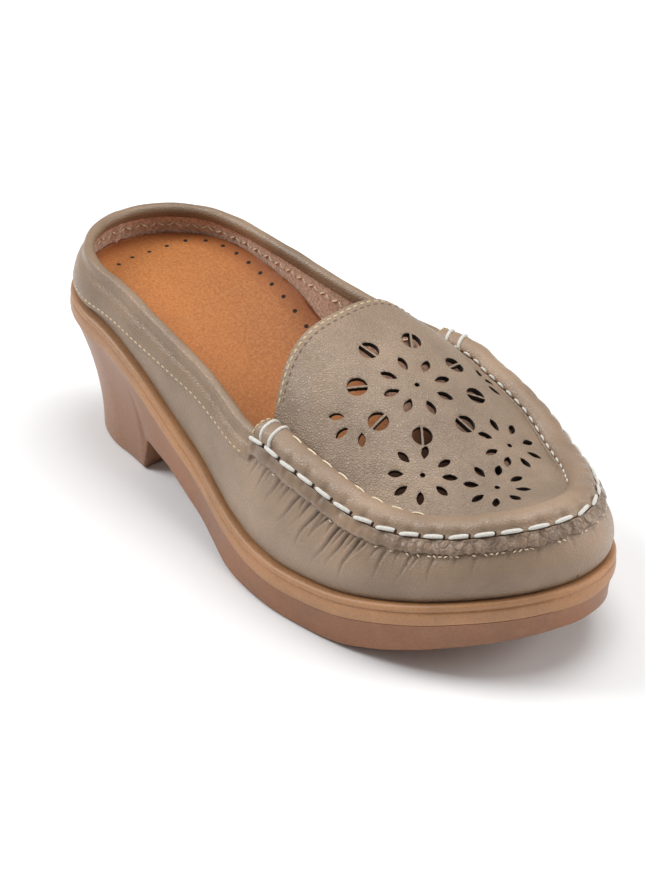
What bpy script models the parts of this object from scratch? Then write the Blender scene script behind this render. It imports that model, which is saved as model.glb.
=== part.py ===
"""A slip-on moccasin mule for the right foot, with a perforated apron and a cut-out wedge sole.

Frame: metres, +X to the toe, +Y to the inner side of the foot, +Z up, floor at z = 0.
The last is worked out station by station along its length. Each station has one point on the
outer (lateral) side of the feather line and one on the inner (medial) side, and every piece of
the shoe is a loft through those same stations.
"""

import math
from collections import namedtuple

import bmesh
import bpy
import numpy as np
from mathutils import Vector
from mathutils.bvhtree import BVHTree

MM = 0.001

# Driving sizes of the last
LAST_LENGTH = 236 * MM
BALL_WIDTH = 95 * MM
SEAT_HEIGHT = 57 * MM
PLATFORM_HEIGHT = 17.5 * MM
TOE_RISE = 17 * MM
TOE_SPRING = 18.5 * MM
ARCH_HEIGHT = 17 * MM
INSTEP_HEIGHT = 19.5 * MM

# Heights of the upper's wall above the welt
COLLAR_HEIGHT = 15 * MM
VAMP_HEIGHT = 38 * MM
TOE_WALL_HEIGHT = 20 * MM

# Leather and its overlays
WALL = 2.0 * MM
GAP = 0.35 * MM
SEAM_LAP = 0.8 * MM
APRON_BAND = 9.0 * MM
ROLL_WIDTH = 8.3 * MM
ROLL_HEIGHT = 4.2 * MM
STRIP_WIDTH = 6.4 * MM
STRIP_THICKNESS = 1.4 * MM
ROLL_START = 0.9 * MM
STRIP_START = 1.3 * MM
CUFF_WIDTH = 13.5 * MM
CUFF_TAPER = 0.42
CUFF_THICKNESS = 1.4 * MM
CUFF_HEM = 4.5 * MM
TONGUE_REACH = 8.5 * MM

# Sole unit
WELT_LEDGE = 2.8 * MM
WELT_HEIGHT = 8 * MM
WELT_DEPTH = 12 * MM
RIB_DEPTH = 0.7 * MM
SOLE_SETBACK = 0.9 * MM
SIDE_CURVE = 1.8
SOLE_EDGE = 1.4 * MM
HEEL_RAKE = 7 * MM
HEEL_TUCK = 10 * MM
INSOLE_THICKNESS = 3.6 * MM
FOOTBED_RISE = 9 * MM

# Perforations
PETAL_LENGTH = 5.9 * MM
PETAL_WIDTH = 2.8 * MM
SMALL_PETAL = 0.88
EYE_RADIUS = 0.9 * MM
DISC_RADIUS = 3.5 * MM
DISC_BAR = 0.9 * MM

# Where things are along the last, as shares of its length
HEEL_ARC = 0.14
TOE_ARC = 0.28
THROAT = 0.53
INNER_SEAM = 0.62
BREAST = 0.205
BREAST_TOP = 0.222
ARCH_END = 0.36
SEAM_STEP = 0.003
TONGUE_FADE = 0.15

# Plan of the last: centre line and half width, as shares of the ball width
Plan = namedtuple("Plan", "at centre half")
PLAN = [
    Plan(0.00, 0.005, 0.330),
    Plan(0.14, -0.003, 0.342),
    Plan(0.26, -0.032, 0.350),
    Plan(0.39, -0.053, 0.362),
    Plan(0.51, -0.048, 0.426),
    Plan(0.635, -0.021, 0.486),
    Plan(0.75, 0.004, 0.500),
    Plan(0.87, 0.014, 0.492),
    Plan(1.00, 0.036, 0.480),
]

# Height of the welt's top: shares of the seat's rise over the platform and of the toe's rise
Seat = namedtuple("Seat", "at heel toe")
SEAT = [
    Seat(0.00, 0.995, 0.0),
    Seat(0.08, 1.000, 0.0),
    Seat(0.14, 0.975, 0.0),
    Seat(0.20, 0.910, 0.0),
    Seat(0.26, 0.800, 0.0),
    Seat(0.32, 0.640, 0.0),
    Seat(0.39, 0.440, 0.0),
    Seat(0.45, 0.270, 0.0),
    Seat(0.51, 0.125, 0.0),
    Seat(0.57, 0.030, 0.01),
    Seat(0.635, 0.0, 0.02),
    Seat(0.70, 0.0, 0.08),
    Seat(0.75, 0.0, 0.18),
    Seat(0.81, 0.0, 0.36),
    Seat(0.87, 0.0, 0.56),
    Seat(0.93, 0.0, 0.78),
    Seat(1.00, 0.0, 1.00),
]

# Underside: shares of the arch's height and the toe spring, and tuck of each side
Under = namedtuple("Under", "at arch spring outer_tuck inner_tuck")
UNDER = [
    Under(0.00, 0.00, 0.00, 1.15, 1.15),
    Under(0.14, 0.00, 0.00, 1.25, 1.45),
    Under(BREAST, 0.00, 0.00, 1.17, 1.46),
    Under(BREAST_TOP, 0.78, 0.00, 1.07, 1.44),
    Under(0.26, 1.00, 0.00, 0.76, 1.33),
    Under(0.30, 0.97, 0.00, 0.54, 1.08),
    Under(0.35, 0.76, 0.00, 0.40, 0.80),
    Under(0.40, 0.50, 0.00, 0.30, 0.60),
    Under(0.45, 0.24, 0.00, 0.20, 0.42),
    Under(0.50, 0.04, 0.00, 0.11, 0.25),
    Under(0.53, 0.00, 0.00, 0.07, 0.15),
    Under(0.62, 0.00, 0.00, 0.02, 0.05),
    Under(0.70, 0.00, 0.00, 0.08, 0.08),
    Under(0.745, 0.00, 0.035, 0.14, 0.12),
    Under(0.80, 0.00, 0.19, 0.18, 0.15),
    Under(0.87, 0.00, 0.46, 0.18, 0.15),
    Under(0.93, 0.00, 0.72, 0.14, 0.14),
    Under(1.00, 0.00, 1.00, 0.10, 0.10),
]

# Wall of the upper: its height as shares of collar, vamp and toe, and how far its top edge
# lies inside the feather line and its middle swells, as shares of the ball width
Wall = namedtuple("Wall", "at collar vamp toe outer_lean inner_lean inner_lift swell")
WALLS = [
    Wall(0.00, 1.00, 0.00, 0.00, 0.030, 0.030, 0.00, 0.006),
    Wall(0.10, 0.98, 0.00, 0.00, 0.028, 0.020, 0.00, 0.008),
    Wall(0.20, 0.95, 0.08, 0.00, 0.024, 0.005, 0.02, 0.012),
    Wall(0.26, 0.76, 0.22, 0.00, 0.022, -0.012, 0.05, 0.014),
    Wall(0.33, 0.42, 0.48, 0.00, 0.022, -0.030, 0.08, 0.014),
    Wall(0.39, 0.20, 0.67, 0.00, 0.024, -0.050, 0.10, 0.014),
    Wall(0.45, 0.06, 0.80, 0.00, 0.028, -0.068, 0.13, 0.016),
    Wall(0.52, 0.00, 0.90, 0.00, 0.034, -0.074, 0.15, 0.022),
    Wall(0.58, 0.00, 0.98, 0.00, 0.042, -0.060, 0.13, 0.028),
    Wall(0.64, 0.00, 0.93, 0.02, 0.046, -0.034, 0.11, 0.032),
    Wall(0.70, 0.00, 0.72, 0.24, 0.050, -0.006, 0.09, 0.034),
    Wall(0.75, 0.00, 0.48, 0.48, 0.058, 0.020, 0.08, 0.032),
    Wall(0.81, 0.00, 0.20, 0.78, 0.072, 0.040, 0.06, 0.030),
    Wall(0.87, 0.00, 0.04, 0.96, 0.080, 0.050, 0.05, 0.028),
    Wall(0.93, 0.00, 0.00, 1.00, 0.076, 0.062, 0.04, 0.028),
    Wall(1.00, 0.00, 0.00, 1.06, 0.060, 0.060, 0.00, 0.028),
]

# Rise of the apron's ridge over its two edges, as shares of the instep height, and how boxy
# its cross-section is
Crown = namedtuple("Crown", "at rise boxy")
CROWNS = [
    Crown(0.53, 1.00, 3.4),
    Crown(0.60, 0.86, 2.9),
    Crown(0.70, 0.64, 2.4),
    Crown(0.81, 0.40, 2.1),
    Crown(0.90, 0.15, 2.0),
    Crown(1.00, 0.00, 2.0),
]

# Footbed: how far its two edges stand above its middle, as shares of the footbed's rise
Bed = namedtuple("Bed", "at outer inner")
BEDS = [
    Bed(0.00, 0.10, 0.10),
    Bed(0.10, 0.14, 0.24),
    Bed(0.20, 0.18, 0.62),
    Bed(0.30, 0.20, 1.00),
    Bed(0.37, 0.20, 1.00),
    Bed(0.46, 0.16, 0.70),
    Bed(0.56, 0.10, 0.30),
    Bed(0.66, 0.05, 0.08),
    Bed(0.80, 0.00, 0.00),
    Bed(1.00, 0.00, 0.00),
]

# Flowers punched in the apron: place along the last, place across and ring in shares, turn
# in degrees
Flower = namedtuple("Flower", "at across ring scale turn")
FLOWERS = [
    Flower(0.661, 0.038, 0.104, 1.0, -10),
    Flower(0.770, -0.172, 0.094, SMALL_PETAL, 0),
    Flower(0.788, 0.196, 0.094, SMALL_PETAL, 0),
    Flower(0.848, 0.000, 0.090, SMALL_PETAL, 0),
]
PETALS = 8
DISC_RING = 0.216
DISCS = 8

# Three-petal sprays beside the first flower; facing is where the middle petal points
Spray = namedtuple("Spray", "at across ring facing")
SPRAYS = [
    Spray(0.655, -0.200, 0.092, -90),
    Spray(0.672, 0.310, 0.066, 90),
]
SPRAY_ANGLES = (-45, 0, 45)

# Rows down the sole's side between its shoulder and its floor edge, as shares of the drop
SIDE_DROPS = (0.22, 0.5, 0.78)

# Stations along the last, closer together where the outline turns
STATIONS = (
    [HEEL_ARC * (1 - math.cos(math.radians(angle))) for angle in (0, 20, 38, 56, 74)]
    + [HEEL_ARC, 0.175, BREAST, BREAST_TOP, 0.26, 0.30, 0.35, 0.40, 0.45, 0.49, THROAT]
    + [0.555, 0.585, INNER_SEAM - SEAM_STEP, INNER_SEAM + SEAM_STEP, 0.66, 0.70, 0.74]
    + [1 - TOE_ARC * (1 - math.sin(math.radians(angle))) for angle in (20, 34, 47, 59, 70, 80, 90)]
)
LAST_STATION = len(STATIONS) - 1
RING = 2 * LAST_STATION
THROAT_STATION = STATIONS.index(THROAT)


def smooth(table, column, at):
    """A column of a table at one place, on a smooth curve that keeps flat stretches flat."""
    knots = [row.at for row in table]
    values = [getattr(row, column) for row in table]
    steps = [(values[i + 1] - values[i]) / (knots[i + 1] - knots[i]) for i in range(len(knots) - 1)]
    slopes = [steps[0]]
    for before, after in zip(steps, steps[1:]):
        flat = before * after <= 0
        slopes.append(0.0 if flat else 2 * before * after / (before + after))
    slopes.append(steps[-1])
    at = min(max(at, knots[0]), knots[-1])
    i = max(k for k in range(len(steps)) if knots[k] <= at)
    width = knots[i + 1] - knots[i]
    t = (at - knots[i]) / width
    return (
        (2 * t**3 - 3 * t**2 + 1) * values[i]
        + (t**3 - 2 * t**2 + t) * width * slopes[i]
        + (3 * t**2 - 2 * t**3) * values[i + 1]
        + (t**3 - t**2) * width * slopes[i + 1]
    )


def roundness(at):
    """Share of the half width that is left where the outline closes round heel and toe."""
    if at < HEEL_ARC:
        return math.sqrt(max(0.0, 1 - (1 - at / HEEL_ARC) ** 2))
    if at > 1 - TOE_ARC:
        return math.sqrt(max(0.0, 1 - ((at - 1 + TOE_ARC) / TOE_ARC) ** 2))
    return 1.0


def side_point(at, side):
    """Point of the feather line seen from above; side is -1 outer, +1 inner."""
    centre = smooth(PLAN, "centre", at) * BALL_WIDTH
    half = smooth(PLAN, "half", at) * BALL_WIDTH * roundness(at)
    return np.array([at * LAST_LENGTH, centre + side * half])


def ring_places():
    """Station share and side of each point round the feather line, from the heel's back
    along the outer side to the toe and back along the inner side."""
    outer = [(at, -1) for at in STATIONS]
    inner = [(at, 1) for at in reversed(STATIONS[1:-1])]
    return outer + inner


PLACES = ring_places()
OUTLINE = np.array([side_point(at, side) for at, side in PLACES])


def inward_normals():
    """Unit vectors across the feather line, pointing into the shoe."""
    along = np.roll(OUTLINE, -1, axis=0) - np.roll(OUTLINE, 1, axis=0)
    along /= np.linalg.norm(along, axis=1)[:, None]
    return np.stack([-along[:, 1], along[:, 0]], axis=1)


INWARD = inward_normals()


def welt_top(at):
    heel = smooth(SEAT, "heel", at) * (SEAT_HEIGHT - PLATFORM_HEIGHT)
    return PLATFORM_HEIGHT + heel + smooth(SEAT, "toe", at) * TOE_RISE


def sole_bottom(at):
    return smooth(UNDER, "arch", at) * ARCH_HEIGHT + smooth(UNDER, "spring", at) * TOE_SPRING


def wall_height(at, side):
    lift = smooth(WALLS, "inner_lift", at) if side > 0 else 0.0
    return (
        smooth(WALLS, "collar", at) * COLLAR_HEIGHT
        + (smooth(WALLS, "vamp", at) + lift) * VAMP_HEIGHT
        + smooth(WALLS, "toe", at) * TOE_WALL_HEIGHT
    )


def ring_at(inset, height):
    """A ring of points. The inset goes by station and side, the height by place along x."""
    points = []
    for (at, side), spot, inward in zip(PLACES, OUTLINE, INWARD):
        x, y = spot + inward * inset(at, side)
        points.append((x, y, height(x / LAST_LENGTH)))
    return np.array(points)


def wall_point(index, share):
    """Outer surface of the upper's wall: share 0 is the feather line, 1 the top edge."""
    at, side = PLACES[index]
    lean = smooth(WALLS, "outer_lean" if side < 0 else "inner_lean", at)
    if at in (STATIONS[0], STATIONS[-1]):
        lean = (smooth(WALLS, "outer_lean", at) + smooth(WALLS, "inner_lean", at)) / 2
    swell = smooth(WALLS, "swell", at)
    inset = (lean * share**1.6 - swell * math.sin(math.pi * share**0.85)) * BALL_WIDTH
    if side > 0 and THROAT < at < INNER_SEAM:
        inset -= SEAM_LAP * min(1.0, share * 4)
    x, y = OUTLINE[index] + INWARD[index] * inset
    return np.array([x, y, welt_top(at) + GAP + share * wall_height(at, side)])


def wall_shares(at, side):
    """Rows of the wall, from the feather line to the top edge."""
    height = wall_height(at, side)
    taper = CUFF_TAPER * min(at, THROAT) / THROAT
    cuff = max(0.12, 1 - CUFF_WIDTH * (1 - taper) / height)
    strip = 1 - STRIP_WIDTH / height
    return [0.0, cuff * 0.33, cuff * 0.66, cuff, (cuff + strip) / 2, strip, 1.0]


ROWS = len(wall_shares(0.0, 1))
CUFF_ROW, MID_ROW, STRIP_ROW, TOP_ROW = ROWS - 4, ROWS - 3, ROWS - 2, ROWS - 1
WALL_GRID = np.array(
    [[wall_point(i, wall_shares(*PLACES[i])[row]) for i in range(RING)] for row in range(ROWS)]
)


def unit(vector):
    return vector / np.linalg.norm(vector)


def wall_frame(row, index):
    """Outward normal and upward direction of the wall at a grid point."""
    along = WALL_GRID[row, (index + 1) % RING] - WALL_GRID[row, index - 1]
    up = WALL_GRID[min(row + 1, TOP_ROW), index] - WALL_GRID[max(row - 1, 0), index]
    return unit(np.cross(along, up)), unit(up)


def off_wall(row, index, out, rise=0.0):
    """A point off the wall's outer surface, and up along it."""
    normal, up = wall_frame(row, index)
    return WALL_GRID[row, index] + normal * out + up * rise


def apron_edge(index):
    """Where the apron's flat band ends, inside the seam at the top of the wall."""
    at, _ = PLACES[index]
    x, y = WALL_GRID[TOP_ROW, index][:2] + INWARD[index] * APRON_BAND
    lift = APRON_BAND * 0.34 * edge_slope(at)
    return np.array([x, y, WALL_GRID[TOP_ROW, index][2] + lift])


def edge_slope(at):
    """How steeply the apron leaves its seam: steep at the instep, nearly flat at the toe."""
    return 0.25 + 0.75 * smooth(CROWNS, "rise", at)


APRON_COLUMNS = 10


def apron_row(station):
    """Points across the apron from the outer band to the inner band at one station."""
    at = STATIONS[station]
    outer = apron_edge(station)
    inner = apron_edge((RING - station) % RING)
    rise = smooth(CROWNS, "rise", at) * INSTEP_HEIGHT
    fade = max(0.0, 1 - (at - THROAT) / TONGUE_FADE) ** 1.5
    points = []
    for column in range(APRON_COLUMNS + 1):
        across = column / APRON_COLUMNS
        arch = 1 - abs(2 * across - 1) ** smooth(CROWNS, "boxy", at)
        back = TONGUE_REACH * fade * (1 - abs(2 * across - 1) ** 3)
        point = outer + (inner - outer) * across
        points.append(point + np.array([-back, 0.0, rise * arch + 0.25 * back]))
    return points


def new_object(name, mesh, collection):
    obj = bpy.data.objects.new(name, mesh)
    collection.objects.link(obj)
    return obj


def material(name, colour, roughness):
    mat = bpy.data.materials.new(name)
    mat.use_nodes = True
    shader = mat.node_tree.nodes["Principled BSDF"]
    shader.inputs["Base Color"].default_value = (*colour, 1.0)
    shader.inputs["Roughness"].default_value = roughness
    shader.inputs["Metallic"].default_value = 0.0
    return mat


def finish(obj, mat):
    obj.data.materials.append(mat)
    obj.data.shade_smooth()
    obj.data.set_sharp_from_angle(angle=math.radians(40))
    return obj


def mesh_of(bm, name):
    bmesh.ops.recalc_face_normals(bm, faces=bm.faces)
    mesh = bpy.data.meshes.new(name)
    bm.to_mesh(mesh)
    bm.free()
    return mesh


def add_ring(bm, points):
    return [bm.verts.new(point) for point in points]


def join_rings(bm, first, second, closed=True):
    count = len(first)
    for i in range(count if closed else count - 1):
        k = (i + 1) % count
        bm.faces.new((first[i], first[k], second[k], second[i]))


def cap_ring(bm, ring, columns=1, lift=None):
    """Closes a ring with rows from its outer to its inner side; lift raises the inside."""
    rows = []
    for station in range(1, LAST_STATION):
        outer, inner = ring[station], ring[RING - station]
        row = [outer]
        for column in range(1, columns):
            across = column / columns
            point = outer.co.lerp(inner.co, across)
            point.z += lift(STATIONS[station], across)
            row.append(bm.verts.new(point))
        rows.append(row + [inner])
    for first, second in zip(rows, rows[1:]):
        for a, b, c, d in zip(first, first[1:], second[1:], second):
            bm.faces.new((a, b, c, d))
    for tip, row in ((ring[0], rows[0]), (ring[LAST_STATION], rows[-1])):
        for a, b in zip(row, row[1:]):
            bm.faces.new((tip, a, b))


def outsole(collection, mat):
    """Wedge heel and platform in one, with a plateau inside the welt and a cut-out arch."""
    bm = bmesh.new()
    edge = SOLE_SETBACK - WELT_LEDGE
    inside = WELT_DEPTH - WELT_LEDGE + GAP
    rings = [
        ring_at(lambda at, side: inside, lambda at: welt_top(at) - GAP),
        ring_at(lambda at, side: inside, shoulder),
        ring_at(lambda at, side: edge, shoulder),
    ]
    for drop in SIDE_DROPS:
        rings.append(side_ring(edge, drop, 0.0))
    rings.append(side_ring(edge, 1.0, SOLE_EDGE))
    rings.append(bottom_ring(edge))
    made = [add_ring(bm, ring) for ring in rings]
    for first, second in zip(made, made[1:]):
        join_rings(bm, first, second)
    cap_ring(bm, made[0])
    cap_ring(bm, made[-1])
    return finish(new_object("outsole", mesh_of(bm, "outsole"), collection), mat)


def side_tuck(at, side):
    """How far the sole's side comes in by the floor: a flared heel, a nearly upright toe."""
    column = "outer_tuck" if side < 0 else "inner_tuck"
    return smooth(UNDER, column, at) * HEEL_TUCK


def heel_rake(at):
    """How far the heel's back comes forward by the floor, beyond the tuck of its sides."""
    if at >= HEEL_ARC:
        return 0.0
    return (HEEL_RAKE - HEEL_TUCK * smooth(UNDER, "outer_tuck", 0)) * (1 - roundness(at))


def shoulder(at):
    """Height of the sole's side under the welt."""
    return welt_top(at) - WELT_HEIGHT - GAP


def side_share(at, drop):
    """Share of the side's flare at a drop; by the arch it goes on as on the heel beside it."""
    top, bottom = shoulder(at), sole_bottom(at)
    along = min(1.0, max(0.0, (at - BREAST_TOP) / (ARCH_END - BREAST_TOP)))
    level = bottom * along**2 * (3 - 2 * along)
    return 1 - (1 - drop * (top - bottom) / (top - level)) ** SIDE_CURVE


def side_ring(edge, drop, lift):
    """A ring down the sole's side; drop 0 is the shoulder, 1 the floor edge."""

    def inset(at, side):
        return edge + side_tuck(at, side) * side_share(at, drop)

    def height(at):
        return shoulder(at) + drop * (sole_bottom(at) + lift - shoulder(at))

    ring = ring_at(inset, height)
    for point, (at, _) in zip(ring, PLACES):
        point[0] += heel_rake(at) * side_share(at, drop)
    return ring


def bottom_ring(edge):
    """The outline of the tread, inside the floor edge."""

    def inset(at, side):
        return edge + side_tuck(at, side) * side_share(at, 1.0) + SOLE_EDGE

    ring = ring_at(inset, sole_bottom)
    for point, (at, _) in zip(ring, PLACES):
        point[0] += heel_rake(at)
    return ring


def welt(collection, mat):
    """Strip round the top of the sole, with a ledge for the upper and two ribs on its edge."""
    bm = bmesh.new()
    inside = WELT_DEPTH - WELT_LEDGE
    half = WELT_HEIGHT / 2
    profile = [
        (inside, 0.0),
        (inside, -WELT_HEIGHT),
        (RIB_DEPTH - WELT_LEDGE, -WELT_HEIGHT),
        (-WELT_LEDGE, -WELT_HEIGHT + RIB_DEPTH),
        (-WELT_LEDGE, -half - RIB_DEPTH),
        (RIB_DEPTH - WELT_LEDGE, -half),
        (-WELT_LEDGE, -half + RIB_DEPTH),
        (-WELT_LEDGE, -2 * RIB_DEPTH),
        (2 * RIB_DEPTH - WELT_LEDGE, 0.0),
    ]
    made = []
    for inset, drop in profile:
        made.append(add_ring(bm, ring_at(lambda at, side: inset, lambda at: welt_top(at) + drop)))
    for first, second in zip(made, made[1:] + made[:1]):
        join_rings(bm, first, second)
    return finish(new_object("welt", mesh_of(bm, "welt"), collection), mat)


def footbed_edge(index):
    """Top edge of the footbed, just inside the upper's wall."""
    at, side = PLACES[index]
    rise = smooth(BEDS, "outer" if side < 0 else "inner", at) * FOOTBED_RISE
    share = (INSOLE_THICKNESS + rise) / wall_height(at, side)
    point = wall_point(index, share)
    point[:2] += INWARD[index] * (WALL + 3 * GAP)
    return point


def insole(collection, mat):
    """Leather footbed inside the upper, with a raised edge round the heel and arch."""
    bm = bmesh.new()
    bottom = ring_at(lambda at, side: WALL + 3 * GAP, lambda at: welt_top(at) + GAP)
    made = [add_ring(bm, bottom), add_ring(bm, [footbed_edge(index) for index in range(RING)])]
    join_rings(bm, made[0], made[1])

    def dish(at, across):
        outer = smooth(BEDS, "outer", at) * abs(1 - 2 * min(across, 0.5)) ** 2.4
        inner = smooth(BEDS, "inner", at) * abs(1 - 2 * max(across, 0.5)) ** 2.4
        level = smooth(BEDS, "outer", at) * (1 - across) + smooth(BEDS, "inner", at) * across
        return (outer + inner - level) * FOOTBED_RISE

    cap_ring(bm, made[0])
    cap_ring(bm, made[1], columns=8, lift=dish)
    return finish(new_object("insole", mesh_of(bm, "insole"), collection), mat)


def upper_surface():
    """Open sheet of the upper's outer surface: wall, flat band and crowned apron."""
    bm = bmesh.new()
    rows = [add_ring(bm, row) for row in WALL_GRID]
    for first, second in zip(rows, rows[1:]):
        join_rings(bm, first, second)
    front = range(THROAT_STATION, RING - THROAT_STATION + 1)
    apron = []
    for station in range(THROAT_STATION, LAST_STATION):
        apron.append([bm.verts.new(point) for point in apron_row(station)])
    tip = bm.verts.new(apron_edge(LAST_STATION))
    edge = [row[0] for row in apron] + [tip] + [row[-1] for row in reversed(apron)]
    seam = [rows[-1][index] for index in front]
    join_rings(bm, seam, edge, closed=False)
    for first, second in zip(apron, apron[1:]):
        for a, b, c, d in zip(first, first[1:], second[1:], second):
            bm.faces.new((a, b, c, d))
    for a, b in zip(apron[-1], apron[-1][1:]):
        bm.faces.new((tip, a, b))
    bmesh.ops.recalc_face_normals(bm, faces=bm.faces)
    if sum(face.normal.z for face in bm.faces) < 0:
        bmesh.ops.reverse_faces(bm, faces=bm.faces)
    return bm


def teardrop(length, width):
    """Outline of a petal, its point at the flower's middle side."""
    shape = ((-0.5, 0.0), (-0.2, 0.3), (0.15, 0.5), (0.42, 0.32), (0.5, 0.0))
    lower = [(x * length, -y * width) for x, y in reversed(shape[1:-1])]
    return [(x * length, y * width) for x, y in shape] + lower


def half_disc(side):
    """One side of a round hole with a bar left across it along x."""
    start = math.asin(DISC_BAR / 2 / DISC_RADIUS)
    angles = np.linspace(start, math.pi - start, 6)
    return [(DISC_RADIUS * math.cos(a), side * DISC_RADIUS * math.sin(a)) for a in angles]


def eye_hole():
    angles = [math.tau * k / 6 for k in range(6)]
    return [(EYE_RADIUS * math.cos(a), EYE_RADIUS * math.sin(a)) for a in angles]


def punches():
    """Every hole as (outline, flower centre x and y, reach from it, turn)."""
    found = []
    for flower in FLOWERS:
        centre = (flower.at * LAST_LENGTH, flower.across * BALL_WIDTH)
        found.append((eye_hole(), *centre, 0.0, 0.0))
        petal = teardrop(PETAL_LENGTH * flower.scale, PETAL_WIDTH * flower.scale)
        for k in range(PETALS):
            turn = math.tau * k / PETALS + math.radians(flower.turn)
            found.append((petal, *centre, flower.ring * BALL_WIDTH, turn))
    centre = (FLOWERS[0].at * LAST_LENGTH, FLOWERS[0].across * BALL_WIDTH)
    for k in range(DISCS):
        turn = math.tau * (k + 0.5) / DISCS + math.radians(FLOWERS[0].turn)
        for side in (-1, 1):
            found.append((half_disc(side), *centre, DISC_RING * BALL_WIDTH, turn))
    petal = teardrop(PETAL_LENGTH * SMALL_PETAL, PETAL_WIDTH * SMALL_PETAL)
    for spray in SPRAYS:
        centre = (spray.at * LAST_LENGTH, spray.across * BALL_WIDTH)
        for angle in SPRAY_ANGLES:
            turn = math.radians(spray.facing + angle)
            found.append((petal, *centre, spray.ring * BALL_WIDTH, turn))
    return found


def surface_frame(tree, x, y, turn):
    """Point of the apron under x, y with its normal and two directions along it."""
    spot, normal, _, _ = tree.ray_cast(Vector((x, y, 1.0)), Vector((0, 0, -1)))
    along = Vector((math.cos(turn), math.sin(turn), 0.0))
    along = (along - normal * along.dot(normal)).normalized()
    return spot, normal, along, normal.cross(along)


def punch_cutters(surface, collection):
    """Closed prisms that stand square on the apron and go through its wall."""
    tree = BVHTree.FromBMesh(surface)
    bm = bmesh.new()
    for outline, x, y, reach, turn in punches():
        spot, _, along, _ = surface_frame(tree, x, y, turn)
        place = spot + along * reach
        spot, normal, along, across = surface_frame(tree, place.x, place.y, turn)
        ends = []
        for depth in (0.8 * WALL, -1.7 * WALL):
            base = spot + normal * depth
            ends.append([bm.verts.new(base + along * a + across * b) for a, b in outline])
        bm.faces.new(ends[0])
        bm.faces.new(list(reversed(ends[1])))
        join_rings(bm, ends[1], ends[0])
    cutter = new_object("punch_cutters", mesh_of(bm, "punch_cutters"), collection)
    cutter.hide_render = True
    cutter.display_type = "WIRE"
    return cutter


def upper(collection, cutters, mat):
    """Hollow leather upper: wall and apron in one shell, punched through in flowers."""
    surface = upper_surface()
    cutter = punch_cutters(surface, cutters)
    mesh = bpy.data.meshes.new("upper")
    surface.to_mesh(mesh)
    surface.free()
    obj = new_object("upper", mesh, collection)
    shell = obj.modifiers.new("leather", "SOLIDIFY")
    shell.thickness = WALL
    shell.offset = -1
    shell.use_even_offset = True
    holes = obj.modifiers.new("flowers", "BOOLEAN")
    holes.operation = "DIFFERENCE"
    holes.solver = "EXACT"
    holes.use_self = True
    holes.object = cutter
    return finish(obj, mat)


def swept(name, sections, collection, mat):
    """A closed strip through sections of equal length, with both ends filled."""
    bm = bmesh.new()
    made = [add_ring(bm, section) for section in sections]
    for first, second in zip(made, made[1:]):
        join_rings(bm, first, second)
    bm.faces.new(made[0])
    bm.faces.new(list(reversed(made[-1])))
    return finish(new_object(name, mesh_of(bm, name), collection), mat)


def cuff_section(index):
    """Folded strip over the collar: outer face, rounded top, and a hem inside."""
    clear = 1.8 * GAP
    face = clear + CUFF_THICKNESS
    inner = -WALL - clear
    lining = inner - CUFF_THICKNESS * 0.8
    bead = CUFF_THICKNESS * 1.5
    return [
        off_wall(CUFF_ROW, index, clear),
        off_wall(MID_ROW, index, clear),
        off_wall(STRIP_ROW, index, clear),
        off_wall(TOP_ROW, index, clear, clear),
        off_wall(TOP_ROW, index, inner, clear),
        off_wall(TOP_ROW, index, inner, -CUFF_HEM),
        off_wall(TOP_ROW, index, lining, -CUFF_HEM),
        off_wall(TOP_ROW, index, lining - GAP, -GAP),
        off_wall(TOP_ROW, index, inner, bead * 0.8),
        off_wall(TOP_ROW, index, -WALL * 0.45, bead),
        off_wall(TOP_ROW, index, face * 0.75, bead * 0.62),
        off_wall(TOP_ROW, index, face * 1.15, -GAP),
        off_wall(STRIP_ROW, index, face),
        off_wall(MID_ROW, index, face),
        off_wall(CUFF_ROW, index, face - GAP),
    ]


def collar_cuff(collection, mat):
    """Cuff from the outer end of the roll, round the heel, to its inner end."""
    indices = list(range(RING - THROAT_STATION, RING)) + list(range(THROAT_STATION + 1))
    sections = [cuff_section(index) for index in indices]
    for end, neighbour in ((0, 1), (-1, -2)):
        pulled = []
        for point, other in zip(sections[end], sections[neighbour]):
            step = unit(other - point) * 2 * GAP
            pulled.append(point + step)
        sections[end] = pulled
    return swept("collar_cuff", sections, collection, mat)


def seam_frame(index):
    """Seam point with the directions in over the apron, down the wall, and both normals."""
    seam = WALL_GRID[TOP_ROW, index]
    over = unit(apron_edge(index) - seam)
    down = unit(WALL_GRID[STRIP_ROW, index] - seam)
    along = unit(WALL_GRID[TOP_ROW, (index + 1) % RING] - WALL_GRID[TOP_ROW, index - 1])
    above = unit(np.cross(along, over) * -1)
    above = above if above[2] > 0 else -above
    outward = unit(np.cross(along, -down))
    return seam, over, down, above, outward


def roll_section(index):
    """Padded roll over the apron's seam."""
    seam, over, down, above, outward = seam_frame(index)
    clear = 1.6 * GAP
    w, h = ROLL_WIDTH, ROLL_HEIGHT
    return [
        seam + down * ROLL_START + outward * clear,
        seam + unit(above + outward) * clear * 1.4,
        seam + over * w + above * clear,
        seam + over * (w + GAP) + above * h * 0.25,
        seam + over * w * 0.85 + above * h * 0.70,
        seam + over * w * 0.60 + above * h * 0.97,
        seam + over * w * 0.32 + above * h * 0.97,
        seam + over * w * 0.06 + above * h * 0.68 + outward * GAP * 2,
        seam + down * ROLL_START * 0.2 + outward * STRIP_THICKNESS * 1.25,
        seam + down * ROLL_START + outward * STRIP_THICKNESS * 1.2,
    ]


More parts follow.
